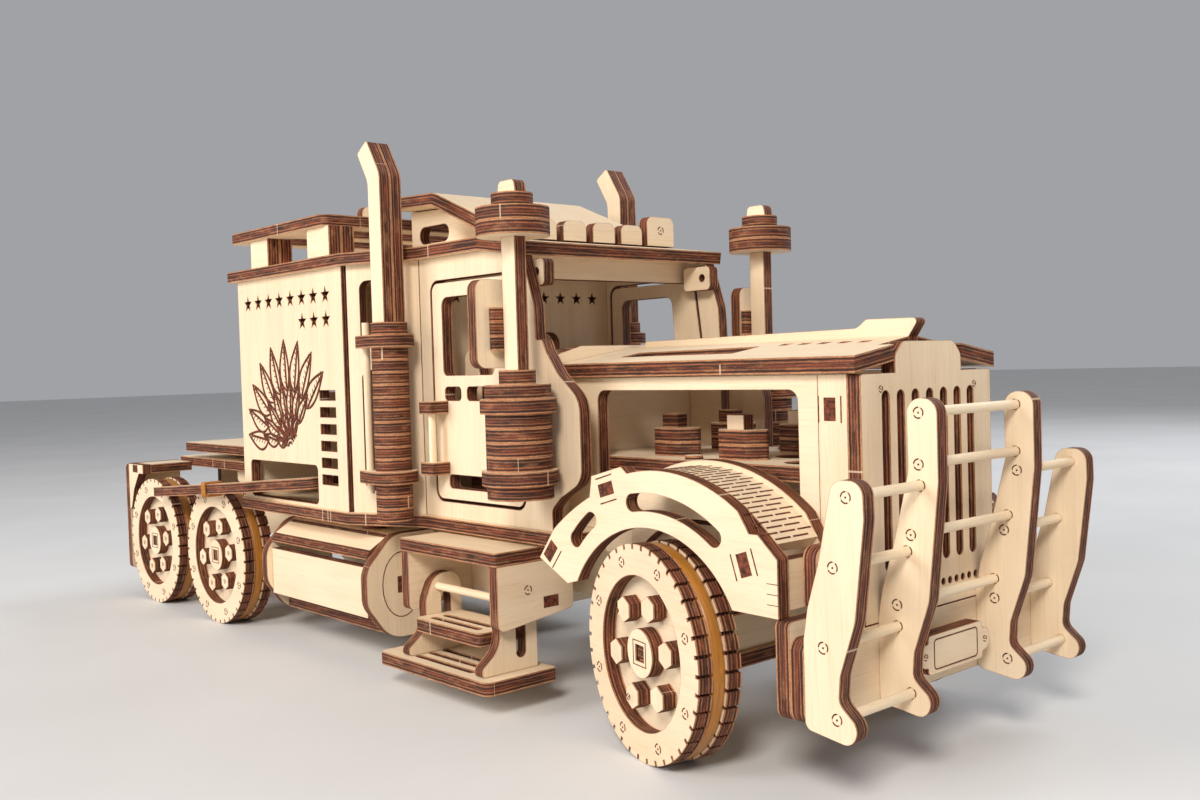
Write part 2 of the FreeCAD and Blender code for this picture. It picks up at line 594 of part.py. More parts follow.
def make_fenders():
    cx, cz, inner = s.front_axle_x, s.wheel_radius, s.fender_inner
    ox, oz, outer = s.fender_x, s.fender_z, s.fender_outer

    def chain(points):
        return [Part.LineSegment(a, b) for a, b in zip(points, points[1:])]

    # outer plate: tabs over the rear and front tenons, an arc between them, the wheel arch below
    first, last = polar(ox, oz, outer, 103.3), polar(ox, oz, outer, 56)
    arch_front, arch_rear = polar(cx, cz, inner, 27.5), polar(cx, cz, inner, 152)
    outline = [Part.Arc(vec(102.3, 55.5), vec(110, 61.1), vec(117.6, 65.3))]
    outline += chain([vec(117.6, 65.3), vec(118.6, 70.9), vec(130, 73.9), first])
    outline.append(arc(ox, oz, outer, 103.3, 56))
    outline += chain([last, vec(172.8, 60.4), vec(175.4, 60.4), vec(181, 55.2), vec(181, 41.8), arch_front])
    outline.append(arc(cx, cz, inner, 27.5, 152))
    outline += chain([arch_rear, vec(107.5, 41.2), vec(95.8, 47.1), vec(102.3, 55.5)])
    slots = [curved_slot(141.2, 27, 39.8, 126, 138, 2.2), curved_slot(140.0, 27.2, 38.2, 55, 99, 2.3)]
    outer_plate = plate("fender_outer_right", "xz", outline, "-bumper_half", slots)

    rim = outer + 1.2
    first, last = polar(ox, oz, rim, 128), polar(ox, oz, rim, 50)
    arch_front, arch_rear = polar(cx, cz, inner, 30), polar(cx, cz, inner, 146)
    outline = [arc(ox, oz, rim, 128, 50)]
    outline += chain([last, vec(179.8, 54), vec(179.8, 43.2), arch_front])
    outline.append(arc(cx, cz, inner, 30, 146))
    outline += chain([arch_rear, first])
    inner_plate = plate("fender_inner_right", "xz", outline, "-hood_half - ply")
    brace = rect(-s.bumper_half + s.ply, 43.0, -s.hood_half - s.ply, 54.6)
    brace_piece = plate("fender_brace_right", "yz", brace, "176.4")
    both_sides("fender_plates", [outer_plate, inner_plate, brace_piece])

    top, low = outer - 0.2, outer - s.ply
    skin = [arc(ox, oz, top, 103, 42.5), *chain([polar(ox, oz, top, 42.5), polar(ox, oz, low, 42.5)]),
            arc(ox, oz, low, 42.5, 103), *chain([polar(ox, oz, low, 103), polar(ox, oz, top, 103)])]
    both_sides("fender_skins", [plate("fender_skin_right", "xz", skin, "-bumper_half + ply",
                                      thick="bumper_half - hood_half - 2 * ply")])


def make_engine():
    low = s.engine_deck_low
    top = low + s.ply
    inner = s.hood_half - s.ply
    deck = rounded([(s.hood_rear + 0.1, -inner), (174, -inner), (174, inner), (s.hood_rear + 0.1, inner)])
    holes = [(126, -20, "2.6"), (126, 20, "2.6"), (160, -14, "5.4"), (160, 14, "5.4"), (146, 0, "6")]
    node("engine_deck", [plate("deck_sheet", "xy", deck, "engine_deck_low", (), holes)])

    blocks = []
    long_hex = [(-9, 0, 1), (-5, -4.5, 1), (5, -4.5, 1), (9, 0, 1), (5, 4.5, 1), (-5, 4.5, 1)]
    for i, (x, y) in enumerate(((112, -12), (138, -13), (112, 12), (138, 13))):
        outline = rounded([(x + px, y + py, r) for px, py, r in long_hex])
        for layer in range(2):
            blocks.append(plate(f"engine_block_{i + 1}_{layer + 1}", "xy", outline,
                                f"engine_deck_low + ply + {layer} * ply"))
        cap_low = top + 2 * s.ply
        blocks.append(box(f"engine_cap_{i + 1}", x - 4, x + 2, y - 2, y + 2, cap_low, cap_low + s.ply))
    for i, y in enumerate((-20, 20)):
        blocks.append(rod(f"engine_plug_{i + 1}", "z", 126, y, low, 5, "2.5"))
    node("engine_blocks", blocks)

    drums, bands = [], []
    for i, y in enumerate((-14, 14)):
        drums.append(rod(f"drum_flange_{i + 1}", "z", 160, y, 62, "ply", "6"))
        drums.append(rod(f"drum_core_{i + 1}", "z", 160, y, "46.2", "15.8", "4"))
        for j in range(3):
            place = polar(160, y, 5, -150 + 60 * j)
            bands.append(rod(f"band_strand_{i + 1}_{j + 1}", "z", place.x, place.y, 46.2, "15.7", "0.9"))
    node("motor_drum", drums)
    node("motor_bands", bands)


def make_cleaners_and_stacks():
    x, y = "cleaner_x", "-cleaner_y"
    pieces = []
    radii = [9.4, 10.8, 9.4, 9.4, 9.4, 9.4, 10.8, 9.4, 5.2]
    low = 63.3
    for i, radius in enumerate(radii):
        pieces.append(rod(f"cleaner_layer_{i + 1}", "z", x, y, f"{low} + {i} * ply", "ply", radius))
    top = low + len(radii) * s.ply
    cap = 136.5
    pieces.append(box("cleaner_post", "cleaner_x - 3", "cleaner_x + 3", "-cleaner_y - 2",
                      "-cleaner_y + 2", top, cap))
    for i, radius in enumerate((10.4, 10.4, 5.9)):
        pieces.append(rod(f"cleaner_cap_{i + 1}", "z", x, y, f"{cap} + {i} * ply", "ply", radius))
    knob = rounded([(-4, 0), (4, 0), (3.4, 3.6, 1.5), (-3.4, 3.6, 1.5)])
    knob_piece = plate("cleaner_knob", "xz", knob, "0")
    knob_piece.setExpression("Placement.Base.x", bound(x))
    knob_piece.setExpression("Placement.Base.y", bound("-cleaner_y + ply / 2"))
    knob_piece.setExpression("Placement.Base.z", bound(f"{cap} + 3 * ply"))
    pieces.append(knob_piece)
    both_sides("air_cleaners", pieces)

    x, y = "muffler_x", "-muffler_y"
    pieces = []
    low, layers, flanges = 51.7, 16, (3, 14)
    mx, my = s.muffler_x, -s.muffler_y
    side_rod = (mx - 9, my - 3.4)
    for i in range(layers):
        if i in flanges:
            lobe = rounded([(mx - 2, my - 7.6, 3), (mx + 7.6, my - 7.6, 7), (mx + 7.6, my + 7.6, 7),
                            (mx - 2, my + 7.6, 3), (mx - 12, my - 0.8, 2), (mx - 12, my - 6.2, 2)])
            pieces.append(plate(f"muffler_flange_{i}", "xy", lobe, f"{low} + {i} * ply", (),
                                [(*side_rod, "dowel_radius + 0.02")]))
        else:
            pieces.append(rod(f"muffler_layer_{i + 1}", "z", x, y, f"{low} + {i} * ply", "ply", 5.9))
    pieces.append(rod("muffler_side_rod", "z", *side_rod, 60, 56))
    top = low + layers * s.ply
    pipe = rounded([(mx - 3.5, top), (mx + 3.5, top), (mx + 3.5, 163, 6), (mx - 3.6, 174.4, 1),
                    (mx - 9.4, 170.8, 1), (mx - 3.5, 161, 6)])
    for i in range(2):
        pieces.append(plate(f"stack_pipe_{i + 1}", "xz", pipe, f"-muffler_y - ply + {i} * ply"))
    both_sides("exhausts", pieces)

    glass = rounded([(-62, 100, 3), (-48, 100, 3), (-48, 125, 3), (-62, 125, 3)])
    bracket = rounded([(84, -58, 1), (86.5, -58, 1), (86.5, -48, 1), (84, -48, 1)])
    mirror = [plate("mirror_sheet", "yz", glass, "80")]
    for i in range(3):
        mirror.append(plate(f"mirror_bracket_{i + 1}", "xy", bracket, f"105 + {i} * ply"))
    both_sides("mirrors", mirror)


def make_tanks_and_steps():
    end = rounded([(-29, 10.2, 2), (-48, 10.2, 10), (-56.4, 22, 8), (-56.4, 34, 8), (-46, 45.2, 9),
                   (-29, 45.2, 2)])
    rear, front = -67.0, 6.0
    both_sides("tank_ends", [plate("tank_end_rear", "yz", end, str(rear)),
                             plate("tank_end_front", "yz", end, str(front))])
    inner_rear, inner_front = rear + s.ply, front
    slanted = rounded([(-54.3, 37.2), (-52.5, 40.2), (-46.6, 43.8), (-48.5, 40.6)])
    length = f"{inner_front - inner_rear}"
    slats = [box("tank_front_slat", inner_rear, inner_front, -54.2, -50.2, 17.5, 34.5),
             plate("tank_slanted_slat", "yz", slanted, str(inner_rear), thick=length),
             box("tank_top_slat", inner_rear, inner_front, -45.5, -31, 41, 45),
             box("tank_low_slat", inner_rear, inner_front, -48, -38, 11.5, 15.5),
             rod("tank_cap", "z", -10, -41, 45.0, 3.2, "4.2")]
    both_sides("tank_slats", slats)

    wall = rounded([(-56.9, 24.5, 2), (-28.9, 28, 2), (-28.9, 43.4), (-56.9, 43.4)])
    foot = rounded([(-40, 11.6), (-60, 11.6, 1), (-60, 14, 2), (-53.5, 19, 8), (-53.5, 28, 6), (-50, 36, 6),
                    (-40, 36, 5)])
    gap = [slot(-46, 17, -46, 28, 1.8)]
    top = rounded([(32.5, -57.5, 1), (83, -57.5, 1), (83, -29, 1), (32.5, -29, 1)])
    inner = rounded([(36.6, -32.9), (78.9, -32.9), (78.9, -28.9), (36.6, -28.9)])
    boxes = [plate("step_wall_rear", "yz", wall, "32.5"), plate("step_wall_front", "yz", wall, "79"),
             plate("step_foot_rear", "yz", foot, "36.6", gap),
             plate("step_foot_front", "yz", foot, "74.9", gap),
             plate("step_top", "xy", top, "43.5"),
             plate("step_back", "xy", inner, "28.2", thick="15.2")]
    both_sides("step_boxes", boxes)

    low = rounded([(26.5, -62.4, 2), (84, -62.4, 3), (84, -37, 1), (26.5, -37, 1)])
    slots = [slot(42, y, 70, y, 1.2) for y in (-57.5, -52.5, -47.5)]
    upper = rounded([(40.7, -58, 2), (74.8, -58, 2), (74.8, -41, 1), (40.7, -41, 1)])
    upper_slots = [slot(46, y, 69, y, 1.2) for y in (-54, -49.5)]
    both_sides("step_treads", [plate("step_low_tread", "xy", low, "7.5", slots),
                               plate("step_upper_tread", "xy", upper, "19.4", upper_slots),
                               rod("step_grab_rod", "x", 40.7, -49, 32, 34.1)])


def make_rear():
    low = s.deck_low
    deck = rounded([(-199, -34, 3), (-84.3, -34), (-84.3, 34), (-199, 34, 3)])
    well = rect(-139, -31, -117, 31, 2)
    pieces = [plate("deck_sheet_low", "xy", deck, "deck_low", [well])]
    for i, x in enumerate((-190, -144, -96)):
        pieces.append(box(f"deck_support_{i + 1}", x, x + 4, -19, 19, 46, "deck_low"))
    # ears hang in the well and carry the pin that the fifth wheel tilts on
    ear = rounded([(-144, low - 0.1), (-144, 53, 2), (-112, 53, 2), (-112, low - 0.1), (-122, low - 0.1),
                   (-124, 64.9, 2), (-132, 64.9, 2), (-134, low - 0.1)])
    for i, y in enumerate((-30, 26)):
        pieces.append(plate(f"saddle_ear_{i + 1}", "xz", ear, str(y), (),
                            [(-128, 62.6, "dowel_radius + running_gap")]))
    node("rear_deck", pieces)

    saddle = rounded([(-184, -6.5, 2), (-184, -37, 2), (-104, -37, 3), (-96, -28, 3), (-96, 28, 3),
                      (-104, 37, 3), (-184, 37, 2), (-184, 6.5, 2), (-152, 2.2, 2), (-152, -2.2, 2)])
    top = plate("saddle_sheet", "xy", saddle, "saddle_low", (), [(-140, 0, "kingpin_bore")])
    cheek = rounded([(-132, 60.4, 2), (-124, 60.4, 2), (-124, s.saddle_low), (-132, s.saddle_low)])
    cheeks = [plate(f"saddle_cheek_{i + 1}", "xz", cheek, str(y), (), [(-128, 62.6, "dowel_radius + 0.02")])
              for i, y in enumerate((-25.4, 21.4))]
    stop = box("saddle_stop", -170, -164, -20, 20, "deck_low + ply + 0.2", "saddle_low")
    node("fifth_wheel_plate", [top, *cheeks, stop, rod("saddle_pin", "y", -128, -30, 62.6, 60)])

    flap = rounded([(-56.9, 12, 2), (-33, 12, 2), (-33, 60.6), (-56.9, 60.6, 2)])
    side = rounded([(-200.8, 40), (-199.2, 40, 1), (-195.5, 49, 3), (-189, 56.6, 3), (-184, 56.6),
                    (-184, 60.6), (-200.8, 60.6)])
    cover = rounded([(-200.8, -52.9), (-184, -52.9), (-184, -34.1), (-200.8, -34.1)])
    pieces = [plate("mudflap_right", "yz", flap, "-204.8"),
              plate("mudguard_side_right", "xz", side, "-56.9"),
              plate("mudguard_cover_right", "xy", cover, "56.6")]
    both_sides("mudguards", pieces)

    x, y = s.lever_x, s.lever_y
    lever = rounded([(x + 7, y + 5, 3), (x + 7, -56, 3), (x + 3, -58.6, 4), (-61, -59.8, 2), (-63, -63.3, 2),
                     (-157, -63.3, 2.6), (-157, -57.5, 2.6), (-79, -57.5, 6), (-68, -49.6, 4),
                     (-44, -49.6, 3), (-42, y + 5, 3)])
    sheet = plate("lever_sheet", "xy", lever, "lever_low", (), [(x, y, "dowel_radius + running_gap")])
    node("release_lever", [leaned(group("release_lever_body", [sheet]))])


def make_front_axle():
    x, y = s.kingpin_x, s.kingpin_y
    beam = slot(x, -y, x, y, 3.4)
    bores = [(x, -y, "dowel_radius + running_gap"), (x, y, "dowel_radius + running_gap")]
    web = rect(-y + 8, 23, y - 8, 33.2)
    node("front_beam", [plate("beam_top", "xy", beam, "33.2", (), bores),
                        plate("beam_low", "xy", beam, "19", (), bores),
                        plate("beam_web", "yz", web, "kingpin_x - ply / 2")])


def steered(piece, sign):
    """Turn a piece built for straight running about its kingpin to the built-in steering angle."""
    pivot = FreeCAD.Vector(s.kingpin_x, sign * s.kingpin_y, 0)
    turn = FreeCAD.Rotation(FreeCAD.Vector(0, 0, 1), s.steer_angle)
    piece.Placement = FreeCAD.Placement(pivot - turn.multVec(pivot), turn)
    return piece


def make_wheel(name, x, face, sign, inner_hub):
    """One wheel: tread rings outside and inside, a rim disc between them, hub, lug nuts and band."""
    radius = s.wheel_radius

    def sheet(label, outline, layer, holes=(), bores=()):
        low = f"{face} - {layer + 1} * ply" if sign > 0 else f"-({face}) + {layer} * ply"
        piece = plate(f"{name}_{label}", "xz", outline, low, holes, bores)
        piece.setExpression("Placement.Base.x", bound(x))
        piece.setExpression("Placement.Base.z", bound("wheel_radius"))
        return piece

    half = s.axle_square / 2
    square = rect(-half, -half, half, half)
    ring = tread(radius, 1.3, 38, 1.9)
    pieces = [sheet("tread_outer", ring, 0, (), [(0, 0, "wheel_opening")]),
              sheet("rim_disc", [Part.Circle(vec(0, 0), FreeCAD.Vector(0, 0, 1), s.rim_radius)], 1, [square]),
              sheet("tread_inner", ring, 2, (), [(0, 0, "wheel_opening")]),
              sheet("hub", [Part.Circle(vec(0, 0), FreeCAD.Vector(0, 0, 1), s.hub_radius)], 0, [square])]
    if inner_hub:
        pieces.append(sheet("inner_hub", [Part.Circle(vec(0, 0), FreeCAD.Vector(0, 0, 1), 8.0)], 2, [square]))
    for i in range(6):
        centre = polar(0, 0, s.lug_circle, 9 + 60 * i)
        pieces.append(sheet(f"lug_{i + 1}", hexagon(centre.x, centre.y, s.lug_radius), 0))
    band = sheet("band", [Part.Circle(vec(0, 0), FreeCAD.Vector(0, 0, 1), s.band_radius)], 1, (),
                 [(0, 0, "rim_radius")])
    return pieces, band


def make_front_wheels():
    offset = s.front_wheel_face - 0.4
    for side, sign in (("right", -1), ("left", 1)):
        x, y = s.kingpin_x, sign * s.kingpin_y
        pieces, band = make_wheel(f"front_{side}", "kingpin_x", f"{offset}", sign, False)
        steered(node(f"front_wheel_{side}", pieces), sign)
        steered(node(f"front_band_{side}", [band]), sign)

        half, reach = 3.5, offset - 0.6
        square = rect(x - half, y - half, x + half, y + half, 0.8)
        block = plate(f"knuckle_block_{side}", "xy", square, "23.3", (),
                      [(x, y, "dowel_radius + 0.01")], thick="9.6")
        pin = rod(f"kingpin_{side}", "z", x, y, 19, 18.2)
        start = y + half if sign > 0 else -reach
        stub = rod(f"stub_axle_{side}", "y", x, start, "wheel_radius", reach - s.kingpin_y - half, "2.03")
        rear = x - s.track_arm - 2.5
        arm = plate(f"steering_arm_{side}", "xy", rounded([(x - half, y - 2.6), (x - half, y + 2.6),
                    (rear, y + 2.6, 2.4), (rear, y - 2.6, 2.4)]), "23.5")
        tie_pin = rod(f"tie_pin_{side}", "z", "kingpin_x - track_arm", y, 27.5, 4.4)
        steered(node(f"knuckle_{side}", [block, pin, stub, arm, tie_pin]), sign)

    turn = FreeCAD.Rotation(FreeCAD.Vector(0, 0, 1), s.steer_angle)
    back = turn.multVec(FreeCAD.Vector(-s.track_arm, 0, 0))
    x, y0, y1 = s.kingpin_x + back.x, -s.kingpin_y + back.y, s.kingpin_y + back.y
    link = slot(x, y0, x, y1, 2.6)
    holes = [(x, y0, "dowel_radius + running_gap"), (x, y1, "dowel_radius + running_gap")]
    node("tie_rod", [plate("tie_rod_sheet", "xy", link, "27.7", (), holes)])


def make_rear_axles():
    for name in ("mid_axle", "rear_axle"):
        x = f"{name}_x"
        wheels, bands = [], []
        for side, sign in (("right", -1), ("left", 1)):
            pieces, band = make_wheel(f"{name}_{side}", x, "rear_wheel_face", sign, True)
            wheels += pieces
            bands.append(band)
        node(f"{name}_wheels", wheels)
        node(f"{name}_bands", bands)
        shoulder = s.rear_wheel_face - 3 * s.ply
        end = s.rear_wheel_face - 0.8
        half = s.axle_square / 2
        shaft = rod(f"{name}_round", "y", x, -shoulder, "wheel_radius", 2 * shoulder, "axle_radius")
        low, high = f"wheel_radius - {half}", f"wheel_radius + {half}"
        ends = [box(f"{name}_square_{i}", f"{x} - {half}", f"{x} + {half}", y0, y1, low, high)
                for i, (y0, y1) in enumerate(((-end, -shoulder), (shoulder, end)))]
        node(f"{name}_shaft", [shaft, *ends])


def write_parts():
    doc.recompute()
    for item in doc.Objects:
        if "Invalid" in item.State or "Error" in item.State:
            raise RuntimeError(f"{item.Label} did not build: {item.State}")
    for item in NODES:
        if item.Shape.isNull() or not item.Shape.isValid():
            raise RuntimeError(f"{item.Label} has no valid shape")
    os.makedirs("parts", exist_ok=True)
    for item in NODES:
        item.Shape.exportStep(f"parts/{item.Label}.step")
    box_all = Part.makeCompound([item.Shape for item in NODES]).BoundBox
    print(len(NODES), "sub-parts,", sum(len(item.Shape.Solids) for item in NODES), "solids,", box_all)


make_frame()
make_floor_and_roof()
make_deflector()
make_cab()
make_doors()
make_hood()
make_front()
make_guards()
make_fenders()
make_engine()
make_cleaners_and_stacks()
make_tanks_and_steps()
make_rear()
make_front_axle()
make_front_wheels()
make_rear_axles()
write_parts()
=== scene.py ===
"""Looks of a laser-cut plywood truck tractor kit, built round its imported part."""
import json
import math
import random

import bmesh
import bpy
import numpy as np
from mathutils import Matrix, Vector

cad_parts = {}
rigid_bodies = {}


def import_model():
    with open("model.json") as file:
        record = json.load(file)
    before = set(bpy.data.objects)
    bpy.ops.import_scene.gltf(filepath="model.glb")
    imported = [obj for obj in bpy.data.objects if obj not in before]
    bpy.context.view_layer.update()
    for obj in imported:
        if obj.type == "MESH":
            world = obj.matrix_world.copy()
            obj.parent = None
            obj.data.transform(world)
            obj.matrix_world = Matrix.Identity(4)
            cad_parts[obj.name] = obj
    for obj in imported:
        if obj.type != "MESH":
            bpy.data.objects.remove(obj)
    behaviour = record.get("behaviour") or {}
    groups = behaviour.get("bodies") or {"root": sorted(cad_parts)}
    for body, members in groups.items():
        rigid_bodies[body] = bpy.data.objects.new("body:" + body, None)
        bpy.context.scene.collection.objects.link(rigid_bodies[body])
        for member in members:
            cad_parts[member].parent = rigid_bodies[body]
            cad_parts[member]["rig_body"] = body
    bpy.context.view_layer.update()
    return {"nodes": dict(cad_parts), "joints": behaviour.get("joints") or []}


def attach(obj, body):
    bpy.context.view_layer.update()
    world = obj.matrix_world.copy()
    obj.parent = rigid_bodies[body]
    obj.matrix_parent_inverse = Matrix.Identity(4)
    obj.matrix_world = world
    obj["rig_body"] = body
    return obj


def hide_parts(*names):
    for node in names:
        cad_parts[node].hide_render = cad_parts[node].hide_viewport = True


bl_info = {
    "name": "Plywood truck tractor kit",
    "version": (1, 0, 0),
    "blender": (4, 5, 0),
    "location": "3D View > Sidebar > Truck Kit",
    "description": "Gives the laser-cut sheets, sticks and rubber bands of a model truck their finish",
    "category": "Object",
}

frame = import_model()
NODES = frame["nodes"]
JOINTS = {joint["name"]: joint for joint in frame["joints"]}
MM = 0.001
SHEET = 4.0
FLAT, EDGE = 0.0, 1.0


# ---- sizes and colours a user would change -----------------------------------------------------

class TruckKitSettings(bpy.types.PropertyGroup):
    """Finish of the sheets, sticks and bands."""
    birch: bpy.props.FloatVectorProperty(
        name="Birch", description="Colour of the sheet faces", subtype="COLOR", size=4,
        min=0, max=1, default=(0.84, 0.675, 0.475, 1))
    birch_dark: bpy.props.FloatVectorProperty(
        name="Birch grain", description="Colour of the darker grain lines", subtype="COLOR", size=4,
        min=0, max=1, default=(0.60, 0.405, 0.235, 1))
    veneer: bpy.props.FloatVectorProperty(
        name="Outer ply", description="Edge colour of the two outer plies", subtype="COLOR", size=4,
        min=0, max=1, default=(0.52, 0.245, 0.115, 1))
    scorch: bpy.props.FloatVectorProperty(
        name="Scorched ply", description="Edge colour of the inner plies", subtype="COLOR", size=4,
        min=0, max=1, default=(0.25, 0.062, 0.026, 1))
    char: bpy.props.FloatVectorProperty(
        name="Char", description="Colour of engraved lines and the darkest plies", subtype="COLOR",
        size=4, min=0, max=1, default=(0.030, 0.012, 0.007, 1))
    stick: bpy.props.FloatVectorProperty(
        name="Stick", description="Colour of the round sticks", subtype="COLOR", size=4,
        min=0, max=1, default=(0.86, 0.70, 0.49, 1))
    amber: bpy.props.FloatVectorProperty(
        name="Rubber", description="Colour of the rubber bands", subtype="COLOR", size=4,
        min=0, max=1, default=(0.50, 0.20, 0.028, 1))
    singe: bpy.props.FloatProperty(
        name="Singed rim", description="Width of the browned line beside every cut",
        subtype="DISTANCE", unit="LENGTH", min=0, max=0.001, default=0.00022)
    line_width: bpy.props.FloatProperty(
        name="Engraved line", description="Width of an engraved line", subtype="DISTANCE",
        unit="LENGTH", min=0.0001, max=0.001, default=0.00036)
    band_round: bpy.props.FloatProperty(
        name="Band roundness", description="Corner radius of a tyre band", subtype="DISTANCE",
        unit="LENGTH", min=0.0002, max=0.0013, default=0.0011)


def settings():
    return bpy.context.scene.truck_kit


# ---- shader groups and materials -----------------------------------------------------------------

def group_tree(name, inputs, outputs):
    tree = bpy.data.node_groups.new(name, "ShaderNodeTree")
    for label, kind, default in inputs:
        socket = tree.interface.new_socket(name=label, in_out="INPUT", socket_type=kind)
        socket.default_value = default
    for label, kind in outputs:
        tree.interface.new_socket(name=label, in_out="OUTPUT", socket_type=kind)
    return tree, tree.nodes.new("NodeGroupInput"), tree.nodes.new("NodeGroupOutput")


class Wiring:
    """Short calls for the nodes that every material here uses."""

    def __init__(self, tree):
        self.tree = tree

    def node(self, kind, **values):
        made = self.tree.nodes.new(kind)
        for key, value in values.items():
            setattr(made, key, value)
        return made

    def join(self, source, target):
        self.tree.links.new(source, target)

    def feed(self, target, value):
        if isinstance(value, bpy.types.NodeSocket):
            self.join(value, target)
        else:
            target.default_value = value

    def maths(self, operation, a, b=0.0, clamp=False):
        made = self.node("ShaderNodeMath", operation=operation, use_clamp=clamp)
        self.feed(made.inputs[0], a)
        self.feed(made.inputs[1], b)
        return made.outputs[0]

    def spread(self, vector, scale):
        made = self.node("ShaderNodeVectorMath", operation="MULTIPLY")
        self.feed(made.inputs[0], vector)
        made.inputs[1].default_value = scale
        return made.outputs[0]

    def noise(self, vector, scale, detail=2.0, rough=0.5):
        made = self.node("ShaderNodeTexNoise", noise_dimensions="3D")
        self.join(self.spread(vector, scale), made.inputs["Vector"])
        made.inputs["Scale"].default_value = 1.0
        made.inputs["Detail"].default_value = detail
        made.inputs["Roughness"].default_value = rough
        return made.outputs["Fac"]

    def remap(self, value, low, high, to_low=0.0, to_high=1.0):
        made = self.node("ShaderNodeMapRange")
        self.join(value, made.inputs["Value"])
        for label, number in (("From Min", low), ("From Max", high), ("To Min", to_low), ("To Max", to_high)):
            made.inputs[label].default_value = number
        return made.outputs["Result"]

    def mix(self, share, a, b, blend="MIX"):
        made = self.node("ShaderNodeMix", data_type="RGBA", blend_type=blend)
        self.feed(made.inputs[0], share)
        self.feed(made.inputs[6], a)
        self.feed(made.inputs[7], b)
        return made.outputs[2]


def grain_group():
    """Birch veneer: long soft figure, fine grain lines and short pores along the first axis."""
    tree, start, end = group_tree(
        "birch_grain",
        [("Lay", "NodeSocketVector", (0, 0, 0)), ("Tone", "NodeSocketFloat", 0.5),
         ("Light", "NodeSocketColor", (1, 1, 1, 1)), ("Dark", "NodeSocketColor", (0, 0, 0, 1))],
        [("Color", "NodeSocketColor"), ("Height", "NodeSocketFloat"), ("Rough", "NodeSocketFloat")])
    w = Wiring(tree)
    lay = start.outputs["Lay"]
    figure = w.noise(lay, (0.018, 0.16, 0.5), 3.0, 0.55)
    lines = w.noise(lay, (0.045, 1.5, 0.5), 3.0, 0.6)
    pores = w.noise(lay, (0.32, 5.5, 0.5), 1.0)
    broad = w.noise(lay, (0.02, 0.035, 0.5), 1.0)
    share = w.maths("ADD", w.remap(figure, 0.35, 0.75, 0.0, 0.26), w.remap(lines, 0.5, 0.74, 0.0, 0.26))
    share = w.maths("ADD", share, w.remap(pores, 0.62, 0.78, 0.0, 0.26))
    share = w.maths("ADD", share, w.remap(broad, 0.3, 0.7, -0.06, 0.12))
    toned = w.maths("MULTIPLY_ADD", start.outputs["Tone"], 0.22)
    tree.nodes[-1].inputs[2].default_value = -0.10
    share = w.maths("ADD", share, toned, clamp=True)
    w.join(w.mix(share, start.outputs["Light"], start.outputs["Dark"]), end.inputs["Color"])
    relief = w.maths("ADD", w.maths("MULTIPLY", lines, 0.6), w.maths("MULTIPLY", pores, 0.4))
    w.join(relief, end.inputs["Height"])
    w.join(w.remap(figure, 0.3, 0.7, 0.50, 0.64), end.inputs["Rough"])
    return tree


